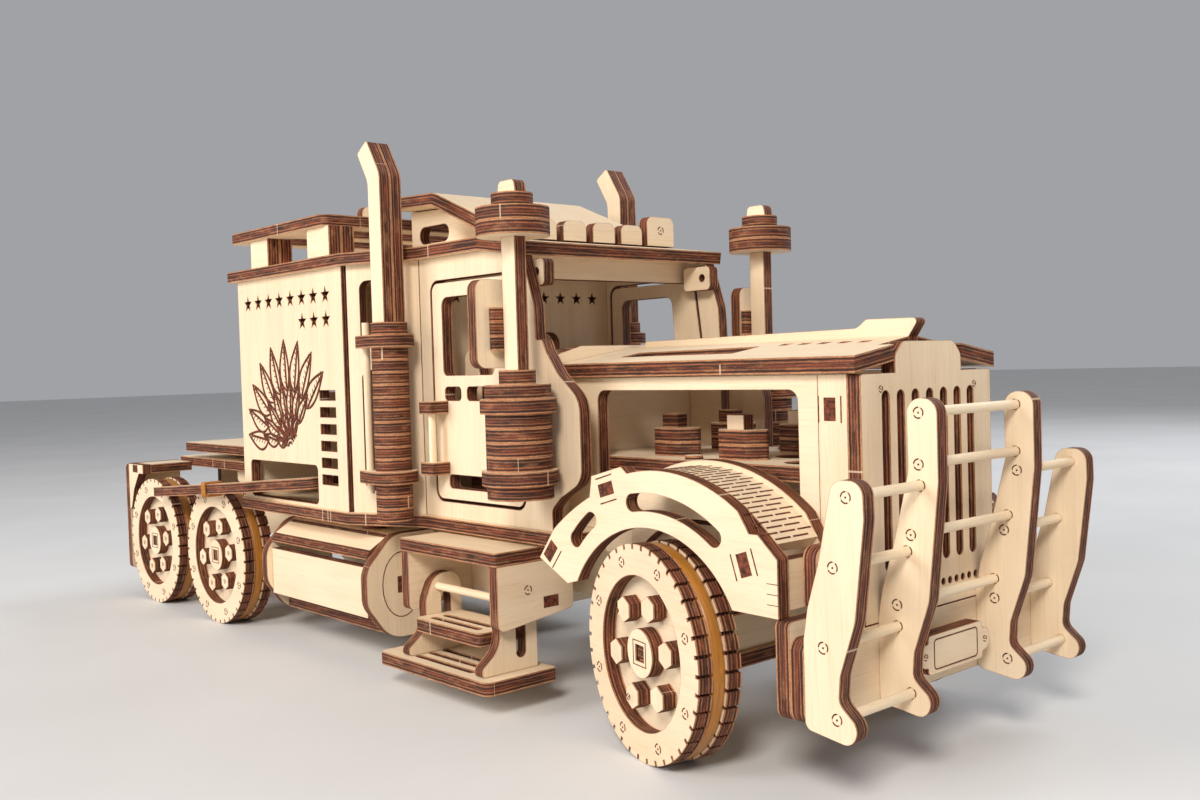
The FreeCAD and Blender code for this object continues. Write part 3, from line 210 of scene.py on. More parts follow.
def scorch_group():
    """Laser-cut edge: five plies seen from the side, burnt to different browns, with fine
    striations across the sheet and a pale bridge here and there."""
    tree, start, end = group_tree(
        "laser_edge",
        [("Lay", "NodeSocketVector", (0, 0, 0)), ("Outer", "NodeSocketColor", (1, 1, 1, 1)),
         ("Inner", "NodeSocketColor", (0, 0, 0, 1)), ("Char", "NodeSocketColor", (0, 0, 0, 1)),
         ("Bridge", "NodeSocketColor", (1, 1, 1, 1))],
        [("Color", "NodeSocketColor"), ("Height", "NodeSocketFloat")])
    w = Wiring(tree)
    lay = start.outputs["Lay"]
    parts = w.node("ShaderNodeSeparateXYZ")
    w.join(lay, parts.inputs[0])
    wobble = w.remap(w.noise(lay, (0.30, 0.30, 0.0), 2.0), 0.0, 1.0, -0.03, 0.03)
    depth = w.maths("FRACT", parts.outputs["Z"])
    depth = w.maths("ADD", depth, wobble)
    middle = w.maths("ABSOLUTE", w.maths("SUBTRACT", depth, 0.5))
    # 0.5 at a face of the sheet, 0 in its core
    outer = w.remap(middle, 0.375, 0.425)
    seam = w.remap(w.maths("ABSOLUTE", w.maths("SUBTRACT", middle, 0.335)), 0.075, 0.035)
    crack = w.remap(middle, 0.475, 0.505)
    glue = w.remap(w.maths("ABSOLUTE", w.maths("SUBTRACT", middle, 0.10)), 0.035, 0.015)
    pale = w.remap(w.maths("ABSOLUTE", w.maths("SUBTRACT", middle, 0.20)), 0.04, 0.015)
    streaks = w.noise(lay, (0.075, 0.075, 6.5), 3.0, 0.7)
    patches = w.noise(lay, (0.16, 0.16, 2.0), 2.0, 0.6)
    speckle = w.noise(lay, (1.9, 1.9, 9.0), 1.0, 0.5)
    ply = w.mix(w.remap(streaks, 0.40, 0.62), start.outputs["Char"], start.outputs["Inner"])
    ply = w.mix(w.remap(patches, 0.52, 0.78, 0.0, 0.55), ply, start.outputs["Outer"])
    ply = w.mix(w.maths("MULTIPLY", pale, 0.38), ply, start.outputs["Outer"])
    ply = w.mix(w.maths("MULTIPLY", glue, 0.6), ply, start.outputs["Char"])
    ply = w.mix(w.maths("MULTIPLY", seam, 0.85), ply, start.outputs["Char"])
    worn = w.mix(w.remap(patches, 0.58, 0.36, 0.0, 0.45), start.outputs["Outer"], start.outputs["Inner"])
    ply = w.mix(outer, ply, worn)
    ply = w.mix(w.remap(speckle, 0.55, 0.38, 0.0, 0.30), ply, start.outputs["Char"])
    ply = w.mix(w.maths("MULTIPLY", crack, 0.7), ply, start.outputs["Char"])
    cells = w.node("ShaderNodeTexWhiteNoise", noise_dimensions="3D")
    snapped = w.node("ShaderNodeVectorMath", operation="FLOOR")
    w.join(w.spread(lay, (2.1, 2.1, 0.0)), snapped.inputs[0])
    w.join(snapped.outputs[0], cells.inputs["Vector"])
    bridge = w.maths("GREATER_THAN", cells.outputs["Value"], 0.9962)
    ply = w.mix(w.maths("MULTIPLY", bridge, 0.5), ply, start.outputs["Bridge"])
    w.join(ply, end.inputs["Color"])
    relief = w.maths("ADD", w.maths("MULTIPLY", streaks, 0.5), w.maths("MULTIPLY", seam, -0.5))
    w.join(relief, end.inputs["Height"])
    return tree


def attribute(w, name, output):
    made = w.node("ShaderNodeAttribute", attribute_name=name, attribute_type="GEOMETRY")
    return made.outputs[output]


def blank_material(name, rough=0.6):
    material = bpy.data.materials.new(name)
    material.use_nodes = True
    tree = material.node_tree
    shader = tree.nodes["Principled BSDF"]
    shader.inputs["Roughness"].default_value = rough
    shader.inputs["Specular IOR Level"].default_value = 0.32
    return material, Wiring(tree), shader


def bump(w, shader, height, distance, strength=1.0):
    made = w.node("ShaderNodeBump")
    made.inputs["Strength"].default_value = strength
    made.inputs["Distance"].default_value = distance
    w.join(height, made.inputs["Height"])
    w.join(made.outputs["Normal"], shader.inputs["Normal"])


def placed(w, group, **values):
    made = w.node("ShaderNodeGroup", node_tree=group)
    for key, value in values.items():
        w.feed(made.inputs[key.capitalize()], value)
    return made


def plywood_material(grain, scorch):
    look = settings()
    material, w, shader = blank_material("plywood_sheet")
    lay = attribute(w, "lay", "Vector")
    cut = attribute(w, "cut", "Fac")
    rim = attribute(w, "rim", "Fac")
    face = placed(w, grain, lay=lay, tone=attribute(w, "tone", "Fac"), light=look.birch, dark=look.birch_dark)
    edge = placed(w, scorch, lay=lay, outer=look.veneer, inner=look.scorch, char=look.char, bridge=look.birch)
    browned = w.maths("MULTIPLY", w.maths("POWER", rim, 1.5),
                      w.remap(w.noise(lay, (0.6, 0.6, 0.0), 2.0), 0.3, 0.7, 0.55, 1.0))
    flat = w.mix(browned, face.outputs["Color"], tuple(look.scorch))
    w.join(w.mix(cut, flat, edge.outputs["Color"]), shader.inputs["Base Color"])
    rough = w.node("ShaderNodeMix", data_type="FLOAT")
    w.join(cut, rough.inputs[0])
    w.join(face.outputs["Rough"], rough.inputs[2])
    rough.inputs[3].default_value = 0.72
    w.join(rough.outputs[0], shader.inputs["Roughness"])
    height = w.node("ShaderNodeMix", data_type="FLOAT")
    w.join(cut, height.inputs[0])
    w.join(face.outputs["Height"], height.inputs[2])
    w.join(edge.outputs["Height"], height.inputs[3])
    bump(w, shader, height.outputs[0], 0.00012, 0.55)
    return material


def stick_material(grain):
    look = settings()
    material, w, shader = blank_material("round_stick")
    face = placed(w, grain, lay=attribute(w, "lay", "Vector"), tone=attribute(w, "tone", "Fac"),
                  light=look.stick, dark=look.birch_dark)
    w.join(face.outputs["Color"], shader.inputs["Base Color"])
    w.join(face.outputs["Rough"], shader.inputs["Roughness"])
    bump(w, shader, face.outputs["Height"], 0.0001, 0.5)
    return material


def char_material():
    look = settings()
    material, w, shader = blank_material("burnt_line", 0.8)
    where = w.node("ShaderNodeTexCoord").outputs["Object"]
    soot = w.noise(where, (900, 900, 900), 3.0, 0.6)
    w.join(w.mix(w.remap(soot, 0.35, 0.7), tuple(look.char), tuple(look.scorch)), shader.inputs["Base Color"])
    bump(w, shader, soot, 0.0001, 0.5)
    return material


def rubber_material():
    look = settings()
    material, w, shader = blank_material("amber_rubber", 0.34)
    shader.inputs["Specular IOR Level"].default_value = 0.5
    shader.inputs["Subsurface Weight"].default_value = 0.25
    shader.inputs["Subsurface Scale"].default_value = 0.002
    lay = attribute(w, "lay", "Vector")
    streaks = w.noise(lay, (0.10, 2.2, 2.2), 3.0, 0.6)
    clouds = w.noise(lay, (0.08, 0.3, 0.3), 2.0)
    deep = tuple(0.45 * c for c in look.amber[:3]) + (1,)
    share = w.maths("ADD", w.remap(streaks, 0.40, 0.72, 0.0, 0.6),
                    w.remap(clouds, 0.35, 0.7, 0.0, 0.4), clamp=True)
    w.join(w.mix(share, tuple(look.amber), deep), shader.inputs["Base Color"])
    w.join(w.remap(streaks, 0.3, 0.7, 0.28, 0.5), shader.inputs["Roughness"])
    bump(w, shader, streaks, 0.00015, 0.5)
    return material


MATERIALS = {}


def make_materials():
    grain, scorch = grain_group(), scorch_group()
    MATERIALS["plywood"] = plywood_material(grain, scorch)
    MATERIALS["stick"] = stick_material(grain)
    MATERIALS["char"] = char_material()
    MATERIALS["rubber"] = rubber_material()


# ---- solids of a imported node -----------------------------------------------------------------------

def solids_of(mesh):
    """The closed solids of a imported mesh, each as (corner positions in mm, triangles)."""
    mesh.calc_loop_triangles()
    places = np.empty(len(mesh.vertices) * 3, np.float32)
    mesh.vertices.foreach_get("co", places)
    places = places.reshape(-1, 3).astype(float) * 1000
    triangles = np.empty(len(mesh.loop_triangles) * 3, np.int32)
    mesh.loop_triangles.foreach_get("vertices", triangles)
    _, first, merged = np.unique(np.round(places, 3), axis=0, return_index=True, return_inverse=True)
    triangles = merged.reshape(-1)[triangles].reshape(-1, 3)
    points = places[first]
    solids, open_edges, held = [], set(), []
    for a, b, c in triangles.tolist():
        if a == b or b == c or a == c:
            continue
        held.append((a, b, c))
        for edge in ((a, b), (b, c), (c, a)):
            back = (edge[1], edge[0])
            if back in open_edges:
                open_edges.remove(back)
            else:
                open_edges.add(edge)
        if not open_edges:
            used, compact = np.unique(np.array(held), return_inverse=True)
            solids.append((points[used], compact.reshape(-1, 3)))
            held = []
    if held:
        raise RuntimeError(f"{mesh.name}: {len(held)} triangles don't close")
    return solids


def facing_of(points, triangles):
    corners = points[triangles]
    normals = np.cross(corners[:, 1] - corners[:, 0], corners[:, 2] - corners[:, 0])
    areas = np.linalg.norm(normals, axis=1)
    normals = normals / np.maximum(areas, 1e-12)[:, None]
    return normals, areas / 2


def sheet_normal(points, normals, areas):
    """Direction through the sheet, and how thick the solid is along it."""
    best = None
    _, index = np.unique(np.round(np.abs(normals), 2), axis=0, return_index=True)
    for i in index:
        n = normals[i]
        along = np.abs(normals @ n)
        area = areas[along > 0.999].sum()
        reach = points @ n
        thick = reach.max() - reach.min()
        layers = max(1, round(thick / SHEET))
        misfit = abs(thick - layers * SHEET)
        score = area / (1 + 40 * (misfit > 0.2)) / (1 + 2.0 * (layers > 1))
        if best is None or score > best[0] + 1e-6:
            best = (score, n, thick)
    n = best[1]
    if n[np.argmax(np.abs(n))] < 0:
        n = -n
    return n, best[2]


def in_plane_axes(points, n):
    """Grain direction and the direction across it, both in the sheet."""
    axis = np.eye(3)[np.argmin(np.abs(n))]
    u = np.cross(n, axis)
    u /= np.linalg.norm(u)
    v = np.cross(n, u)
    if np.ptp(points @ v) > np.ptp(points @ u):
        u, v = v, -u
    return u, v


def is_stick(points):
    """True for a thin round solid much longer than wide."""
    size = np.ptp(points, axis=0)
    middle = points - points.mean(axis=0)
    spin = np.linalg.svd(middle, full_matrices=False)[2]
    lengths = np.ptp(middle @ spin.T, axis=0)
    round_enough = abs(lengths[1] - lengths[2]) < 0.25 * lengths[1]
    slender = lengths[0] > 3.2 * lengths[1] and lengths[1] < 5.5
    return size.max() > 3 and slender and round_enough and len(points) > 16


class Sheets:
    """Collects solids into one mesh with the attributes that the materials read."""

    def __init__(self, name):
        self.name = name
        self.chance = random.Random(name)
        self.points, self.faces, self.lay, self.rim = [], [], [], []
        self.cut, self.tone, self.kind, self.sharp = [], [], [], []

    def add(self, bm, lay_of, cut_of, tone, kind, rim=None):
        start = len(self.points)
        bm.verts.ensure_lookup_table()
        bm.verts.index_update()
        for vert in bm.verts:
            self.points.append(tuple(c * MM for c in vert.co))
            self.lay.append(lay_of(vert))
            self.rim.append(1.0 if rim and rim(vert) else 0.0)
        for face in bm.faces:
            self.faces.append([start + v.index for v in face.verts])
            self.cut.append(cut_of(face))
            self.tone.append(tone)
            self.kind.append(kind)
        for edge in bm.edges:
            if len(edge.link_faces) == 2 and edge.calc_face_angle(0) > math.radians(30):
                self.sharp.append((start + edge.verts[0].index, start + edge.verts[1].index))

    def mesh(self, materials):
        mesh = bpy.data.meshes.new(self.name)
        mesh.from_pydata(self.points, [], self.faces)
        for material in materials:
            mesh.materials.append(material)
        mesh.polygons.foreach_set("material_index", self.kind)
        mesh.polygons.foreach_set("use_smooth", [True] * len(self.faces))
        made = mesh.attributes.new("lay", "FLOAT_VECTOR", "POINT")
        made.data.foreach_set("vector", np.array(self.lay, np.float32).ravel())
        made = mesh.attributes.new("rim", "FLOAT", "POINT")
        made.data.foreach_set("value", np.array(self.rim, np.float32))
        made = mesh.attributes.new("cut", "FLOAT", "FACE")
        made.data.foreach_set("value", np.array(self.cut, np.float32))
        made = mesh.attributes.new("tone", "FLOAT", "FACE")
        made.data.foreach_set("value", np.array(self.tone, np.float32))
        wanted = {tuple(sorted(pair)) for pair in self.sharp}
        flags = [tuple(sorted(edge.vertices)) in wanted for edge in mesh.edges]
        made = mesh.attributes.new("sharp_edge", "BOOLEAN", "EDGE")
        made.data.foreach_set("value", flags)
        mesh.update()
        return mesh


def loose(points, triangles):
    bm = bmesh.new()
    verts = [bm.verts.new(p) for p in points]
    for a, b, c in triangles:
        try:
            bm.faces.new((verts[a], verts[b], verts[c]))
        except ValueError:
            continue
    bm.normal_update()
    return bm


BENT = {"wind_deflector": 1, "sun_visor": 1, "fender_skins": 2}


def add_solid(sheets, points, triangles, bent):
    """One solid of a node: a flat sheet, a bent sheet or a round stick."""
    normals, areas = facing_of(points, triangles)
    shift = [sheets.chance.uniform(-400, 400) for _ in range(2)]
    tone = sheets.chance.uniform(0, 1)
    bm = loose(points, triangles)
    if is_stick(points):
        centre = points.mean(axis=0)
        spin = np.linalg.svd(points - centre, full_matrices=False)[2]

        def stick_lay(vert):
            local = spin @ (np.array(vert.co) - centre)
            turn = math.atan2(local[2], local[1])
            return (local[0] + shift[0], 0.55 * turn + shift[1], 0.4 * math.cos(turn))
        sheets.add(bm, stick_lay, lambda face: FLAT, tone, 1)
        bm.free()
        return
    if bent:
        tops = {v for f in bm.faces if abs(f.normal.y) < 0.5 and f.normal.z > 0.25 for v in f.verts}

        def bent_lay(vert):
            return (vert.co.x + shift[0], vert.co.y + shift[1], 0.999 if vert in tops else 0.001)

        def bent_cut(face):
            return EDGE if abs(face.normal.y) > 0.5 or abs(face.normal.z) < 0.25 else FLAT
        sheets.add(bm, bent_lay, bent_cut, tone, 0)
        bm.free()
        return
    n, thick = sheet_normal(points, normals, areas)
    u, v = in_plane_axes(points, n)
    low = (points @ n).min()
    layers = max(1, round(thick / SHEET))
    lean = math.radians(sheets.chance.uniform(-2.5, 2.5))
    u, v = u * math.cos(lean) + v * math.sin(lean), v * math.cos(lean) - u * math.sin(lean)
    normal = Vector(n)
    flats = [f for f in bm.faces if abs(f.normal.dot(normal)) > 0.95]
    singe = settings().singe * 1000
    size = np.sort(np.ptp(points @ np.array([u, v]).T, axis=0))
    if singe > 0 and size[0] > 1.6:
        bmesh.ops.inset_region(bm, faces=flats, thickness=singe, use_boundary=True, use_even_offset=True)
        bm.normal_update()

    def flat_lay(vert):
        p = np.array(vert.co)
        depth = min(max((p @ n - low) / thick, 0.0005), 0.9995) * layers
        return (p @ u + shift[0], p @ v + shift[1], depth)

    def flat_cut(face):
        return FLAT if abs(face.normal.dot(normal)) > 0.95 else EDGE

    def at_rim(vert):
        return any(abs(f.normal.dot(normal)) <= 0.95 for f in vert.link_faces)
    sheets.add(bm, flat_lay, flat_cut, tone, 0, at_rim)
    bm.free()


def put(name, mesh, body, replaced=()):
    """Show a finished mesh: it rides on its body and stands for its CAD nodes."""
    piece = bpy.data.objects.new(name, mesh)
    bpy.context.scene.collection.objects.link(piece)
    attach(piece, body)
    if replaced:
        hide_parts(*replaced)
    return piece


def body_of(node):
    return NODES[node]["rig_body"]


def finish_sheets(*nodes, slot="plywood"):
    for node in nodes:
        sheets = Sheets(node + "_sheets")
        bent = BENT.get(node, 0)
        for i, (points, triangles) in enumerate(solids_of(NODES[node].data)):
            add_solid(sheets, points, triangles, i < bent)
        mesh = sheets.mesh([MATERIALS["plywood"], MATERIALS["stick"]])
        put(sheets.name, mesh, body_of(node), [node])


# ---- geometry trees ----------------------------------------------------------------------------------

class Growing:
    """A geometry tree with named inputs, run once on a mesh to make a plain mesh."""

    def __init__(self, name, inputs):
        self.tree = bpy.data.node_groups.new(name, "GeometryNodeTree")
        face = self.tree.interface
        face.new_socket(name="Geometry", in_out="INPUT", socket_type="NodeSocketGeometry")
        self.ids = {}
        for label, kind, default in inputs:
            socket = face.new_socket(name=label, in_out="INPUT", socket_type=kind)
            if default is not None:
                socket.default_value = default
            self.ids[label] = socket.identifier
        face.new_socket(name="Geometry", in_out="OUTPUT", socket_type="NodeSocketGeometry")
        self.start = self.node("NodeGroupInput")
        self.end = self.node("NodeGroupOutput")

    def node(self, kind, **values):
        made = self.tree.nodes.new(kind)
        for key, value in values.items():
            setattr(made, key, value)
        return made

    def join(self, source, target):
        self.tree.links.new(source, target)

    def given(self, label):
        return self.start.outputs[label]

    def scaled(self, value, by):
        made = self.node("ShaderNodeMath", operation="MULTIPLY")
        self.join(value, made.inputs[0])
        made.inputs[1].default_value = by
        return made.outputs[0]

    def named(self, name, kind="FLOAT_VECTOR"):
        made = self.node("GeometryNodeInputNamedAttribute", data_type=kind)
        made.inputs["Name"].default_value = name
        return made.outputs["Attribute"]

    def close(self, geometry):
        """Realize the instances, give the material and end the tree."""
        real = self.node("GeometryNodeRealizeInstances")
        painted = self.node("GeometryNodeSetMaterial")
        self.join(geometry, real.inputs[0])
        self.join(real.outputs[0], painted.inputs["Geometry"])
        self.join(self.given("Material"), painted.inputs["Material"])
        self.join(painted.outputs[0], self.end.inputs[0])

    def grow(self, name, mesh, **values):
        piece = bpy.data.objects.new(name, mesh)
        bpy.context.scene.collection.objects.link(piece)
        modifier = piece.modifiers.new("grow", "NODES")
        modifier.node_group = self.tree
        for label, value in values.items():
            modifier[self.ids[label.replace("_", " ").capitalize()]] = value
        graph = bpy.context.evaluated_depsgraph_get()
        graph.update()
        grown = bpy.data.meshes.new_from_object(piece.evaluated_get(graph))
        piece.modifiers.remove(modifier)
        bpy.data.objects.remove(piece)
        grown.name = name
        return grown


def sweep_tree():
    """Engraved lines: every chain of edges becomes a thin round bead sunk half into the sheet."""
    t = Growing("engraved_line", [("Width", "NodeSocketFloat", 0.0003),
                                  ("Material", "NodeSocketMaterial", None)])
    curve = t.node("GeometryNodeMeshToCurve")
    bead = t.node("GeometryNodeCurvePrimitiveCircle")
    swept = t.node("GeometryNodeCurveToMesh")
    t.join(t.given("Geometry"), curve.inputs["Mesh"])
    bead.inputs["Resolution"].default_value = 6
    t.join(t.scaled(t.given("Width"), 0.5), bead.inputs["Radius"])
    t.join(curve.outputs["Curve"], swept.inputs["Curve"])
    t.join(bead.outputs["Curve"], swept.inputs["Profile Curve"])
    swept.inputs["Fill Caps"].default_value = True
    t.close(swept.outputs["Mesh"])
    return t


def instance(t, shape):
    """Copies of shape on the points, turned so that +Z points along "facing" and +X along "along"."""
    on = t.node("GeometryNodeInstanceOnPoints")
    first = t.node("FunctionNodeAlignRotationToVector", axis="Z")
    second = t.node("FunctionNodeAlignRotationToVector", axis="X", pivot_axis="Z")
    t.join(t.named("facing"), first.inputs["Vector"])
    t.join(first.outputs["Rotation"], second.inputs["Rotation"])
    t.join(t.named("along"), second.inputs["Vector"])
    t.join(t.given("Geometry"), on.inputs["Points"])
    t.join(shape, on.inputs["Instance"])
    t.join(second.outputs["Rotation"], on.inputs["Rotation"])
    t.join(t.named("size", "FLOAT"), on.inputs["Scale"])
    return on.outputs["Instances"]


def pin_tree():
    """Stick end seen in a sheet: a ring burnt in three arcs round a centre dot."""
    t = Growing("pin_mark", [("Radius", "NodeSocketFloat", 0.001), ("Line", "NodeSocketFloat", 0.0003),
                             ("Material", "NodeSocketMaterial", None)])
    bead = t.node("GeometryNodeCurvePrimitiveCircle")
    bead.inputs["Resolution"].default_value = 6
    t.join(t.scaled(t.given("Line"), 0.5), bead.inputs["Radius"])
    parts = t.node("GeometryNodeJoinGeometry")
    for i in range(3):
        bow = t.node("GeometryNodeCurveArc")
        bow.inputs["Resolution"].default_value = 7
        t.join(t.given("Radius"), bow.inputs["Radius"])
        bow.inputs["Start Angle"].default_value = math.radians(120 * i)
        bow.inputs["Sweep Angle"].default_value = math.radians(84)
        swept = t.node("GeometryNodeCurveToMesh")
        t.join(bow.outputs["Curve"], swept.inputs["Curve"])
        t.join(bead.outputs["Curve"], swept.inputs["Profile Curve"])
        swept.inputs["Fill Caps"].default_value = True
        t.join(swept.outputs["Mesh"], parts.inputs["Geometry"])
    dot = t.node("GeometryNodeMeshUVSphere")
    dot.inputs["Segments"].default_value = 8
    dot.inputs["Rings"].default_value = 4
    t.join(t.scaled(t.given("Line"), 0.75), dot.inputs["Radius"])
    t.join(dot.outputs["Mesh"], parts.inputs["Geometry"])
    t.close(instance(t, parts.outputs["Geometry"]))
    return t


def block_tree():
    """Small sharp blocks: kerf slits and burnt windows."""
    t = Growing("kerf_slit", [("Size", "NodeSocketVector", (0.003, 0.0004, 0.0002)),
                              ("Material", "NodeSocketMaterial", None)])
    cube = t.node("GeometryNodeMeshCube")
    t.join(t.given("Size"), cube.inputs["Size"])
    t.close(instance(t, cube.outputs["Mesh"]))
    return t


TREES = {}


def make_trees():
    TREES["line"] = sweep_tree()
    TREES["pin"] = pin_tree()
    TREES["block"] = block_tree()


# ---- marks on the sheets -----------------------------------------------------------------------------

class Marks:
    """Engraved lines, pin ends and slits, gathered for each body before they are grown."""

    def __init__(self):
        self.lines, self.spots = {}, {}

    def line(self, body, points, closed=False, bold=False):
        """A chain of points in mm."""
        self.lines.setdefault((body, bold), []).append(([Vector(p) for p in points], closed))

    def spot(self, kind, body, at, facing, along=(0, 0, 1), size=1.0):
        self.spots.setdefault((kind, body), []).append((Vector(at), Vector(facing), Vector(along), size))

    def grow(self):
        for (body, bold), chains in sorted(self.lines.items()):
            points, edges = [], []
            for chain, closed in chains:
                start = len(points)
                points += [p * MM for p in chain]
                edges += [(start + i, start + i + 1) for i in range(len(chain) - 1)]
                if closed:
                    edges.append((start + len(chain) - 1, start))
            mesh = bpy.data.meshes.new("lines")
            mesh.from_pydata(points, edges, [])
            name = f"{body}_deep_engraving" if bold else f"{body}_engraving"
            width = settings().line_width * (2.6 if bold else 1)
            grown = TREES["line"].grow(name, mesh, width=width, material=MATERIALS["char"])
            put(name, grown, body)
        for (kind, body), rows in sorted(self.spots.items()):
            mesh = bpy.data.meshes.new("spots")
            mesh.from_pydata([row[0] * MM for row in rows], [], [])
            for label, column in (("facing", 1), ("along", 2)):
                made = mesh.attributes.new(label, "FLOAT_VECTOR", "POINT")
                made.data.foreach_set("vector", np.array([row[column] for row in rows], np.float32).ravel())
            made = mesh.attributes.new("size", "FLOAT", "POINT")
            made.data.foreach_set("value", np.array([row[3] for row in rows], np.float32))
            tree, values = SPOT_KINDS[kind]
            name = f"{body}_{kind}"
            grown = TREES[tree].grow(name, mesh, material=MATERIALS["char"], **values)
            put(name, grown, body)


SPOT_KINDS = {
    "pin_ends": ("pin", {"radius": 1.25 * MM, "line": 0.34 * MM}),
    "small_pins": ("pin", {"radius": 0.75 * MM, "line": 0.26 * MM}),
    "kerf_slits": ("block", {"size": (5.5 * MM, 0.44 * MM, 0.20 * MM)}),
    "burnt_ticks": ("block", {"size": (6.4 * MM, 0.34 * MM, 0.12 * MM)}),
    "tenon_frames": ("block", {"size": (5.6 * MM, 3.4 * MM, 0.12 * MM)}),
}

MARKS = Marks()


def tenon(body, at, facing, along, lines=True):
    """A tenon end showing in its slot, with a burnt line along each long side."""
    at, facing, along = Vector(at), Vector(facing).normalized(), Vector(along).normalized()
    across = facing.cross(along)
    MARKS.spot("tenon_frames", body, at, facing, along)
    if lines:
        for side in (-1, 1):
            MARKS.spot("burnt_ticks", body, at + across * side * 3.3, facing, along)


def wheel_marks(body, centre, axis):
    """Pin ends and hub lines on the outer face of a wheel; axis points outwards."""
    up = Vector((0, 0, 1))
    side = up.cross(axis)
    for i in range(8):
        turn = math.radians(20 + 45 * i)
        at = centre + axis * 6.02 + (side * math.cos(turn) + up * math.sin(turn)) * 23.4
        MARKS.spot("pin_ends", body, at, axis, up)
    for i in range(6):
        turn = math.radians(9 + 60 * i)
        at = centre + axis * 6.02 + (Vector((1, 0, 0)) * math.cos(turn) + up * math.sin(turn)) * 12.6
        MARKS.spot("small_pins", body, at, axis, up)
    corners = [(-1, -1), (1, -1), (1, 1), (-1, 1)]
    MARKS.line(body, [centre + axis * 6.0 + (side * a + up * b) * 3.1 for a, b in corners], True)


def leaf(root, tip, width, count=9):
    """Outline of a feather from root to tip in the sheet's own two axes."""
    root, tip = Vector(root), Vector(tip)
    along = tip - root
    across = Vector((-along.y, along.x)).normalized()
    upper, lower = [], []
    for i in range(count + 1):
        t = i / count
        swell = width * math.sin(math.pi * t ** 0.72)
        upper.append(root + along * t + across * swell)
        lower.append(root + along * t - across * swell * 0.55)
    return upper + lower[-2:0:-1]


def wing(body, y):
    """Spread wing of plain feathers, engraved on a sleeper side."""
    def at(p):
        return Vector((p[0], y, p[1]))
    root = Vector((-44.5, 73.5))
    rows = ((9, 46, 174, 39, 4.4, 0.52), (8, 53, 170, 24.5, 3.0, 0.44), (6, 60, 165, 13, 2.3, 0.3))
    for count, first, last, length, width, inner in rows:
        for i in range(count):
            turn = math.radians(first + (last - first) * i / (count - 1))
            reach = length * (0.86 + 0.14 * math.sin(turn))
            ray = Vector((math.cos(turn), math.sin(turn)))
            side = Vector((-ray.y, ray.x))
            start, tip = root + ray * (reach * inner), root + ray * reach
            MARKS.line(body, [at(p) for p in leaf(start, tip, width)], True, True)
            MARKS.line(body, [at(start + ray * 1.2), at(tip - ray * 2.2)], False, True)
            for k in range(int(reach * (1 - inner) / 2.4)):
                a = start + ray * (2.4 + 2.2 * k)
                MARKS.line(body, [at(a), at(a + ray * 1.2 + side * 1.7)])
    for i in range(4):
        bow = [root + Vector((math.cos(a), math.sin(a))) * (1.6 + 1.5 * i)
               for a in (math.radians(40 + 14 * k) for k in range(11))]
        MARKS.line(body, [at(p) for p in bow], False, True)


def side_marks():
    """Marks on the cab, sleeper, fenders and tanks, on both sides."""
    for sign in (-1, 1):
        out = (0, sign, 0)
        wing("chassis", sign * 54.2)
        for z in (72, 117):
            tenon("chassis", (-81.52, sign * 52.2, z), (-1, 0, 0), (0, 0, 1), False)
        face = sign * 51.42
        for x, z, ax, az in ((124.2, 67.8, 0.96, 0.27), (100.7, 49.3, 0.62, 0.78), (171.1, 53.1, 0.3, -0.95)):
            tenon("chassis", (x, face, z), out, (ax, 0, az))
        for i in range(3):
            MARKS.spot("burnt_ticks", "chassis", (179.4, face, 49.6 - 2.4 * i), out, (1, 0, 0), 0.5)
        tenon("chassis", (179.0, sign * 28.42, 88), out, (0, 0, 1))
        tenon("chassis", (-193, sign * 56.92, 58.6), out, (1, 0, 0), False)
        for x, z in ((200.0, 87.2), (199.8, 75.4), (197.4, 59.1), (193.3, 42.4), (200.1, 70.6), (196.3, 55.2),
                     (193.3, 37.4), (196.6, 22.3)):
            MARKS.spot("pin_ends", "chassis", (x, sign * 23.52, z), out)
            MARKS.spot("pin_ends", "chassis", (x, sign * 19.48, z), (0, -sign, 0))
        for x, z in ((200.1, 70.6), (196.3, 55.2), (193.3, 37.4), (196.6, 22.3)):
            MARKS.spot("pin_ends", "chassis", (x, sign * 51.42, z), out)
        MARKS.spot("pin_ends", "chassis", (83.02, sign * 46, 35.5), (1, 0, 0))
        MARKS.spot("pin_ends", "chassis", (62.42, sign * 32.5, 145.6), (1, 0, 0))
        tenon("chassis", (83, sign * 37.5, 31), (1, 0, 0), (0, 1, 0), False)
        oval = [(10.0, sign * (43 + 7.5 * math.cos(a)), 28 + 11 * math.sin(a))
                for a in (2 * math.pi * i / 28 for i in range(28))]
        MARKS.line("chassis", oval, True)
        tenon("chassis", (10, sign * 43, 28), (1, 0, 0), (0, 0, 1), False)


def front_marks():
    """Number plate border, pins beside the plate and radiator pins."""
    border = []
    for cy, cz, start in ((8.6, 30.8, 0), (-8.6, 30.8, 90), (-8.6, 25.6, 180), (8.6, 25.6, 270)):
        for i in range(4):
            a = math.radians(start + 30 * i)
            border.append((194.0, cy + 1.0 * math.cos(a), cz + 1.0 * math.sin(a)))
    MARKS.line("chassis", border, True)
    for y in (-13.2, 13.2):
        MARKS.spot("small_pins", "chassis", (194.02, y, 28.2), (1, 0, 0))
    for y in (-20.5, 20.5):
        MARKS.spot("small_pins", "chassis", (188.02, y, 92.5), (1, 0, 0))


def skin_slits():
    """Staggered rows of kerf slits that let the fender skins bend."""
    rows = 28
    for sign in (-1, 1):
        for i in range(rows):
            turn = math.radians(44.0 + 57.5 * i / (rows - 1))
            facing = Vector((math.cos(turn), 0, math.sin(turn)))
            for j in range(3 if i % 2 else 2):
                y = sign * (34.6 + 6.4 * j + (0 if i % 2 else 3.2))
                at = Vector((143.1, y, 26.3)) + facing * 46.98
                MARKS.spot("kerf_slits", "chassis", at, facing, (0, 1, 0))


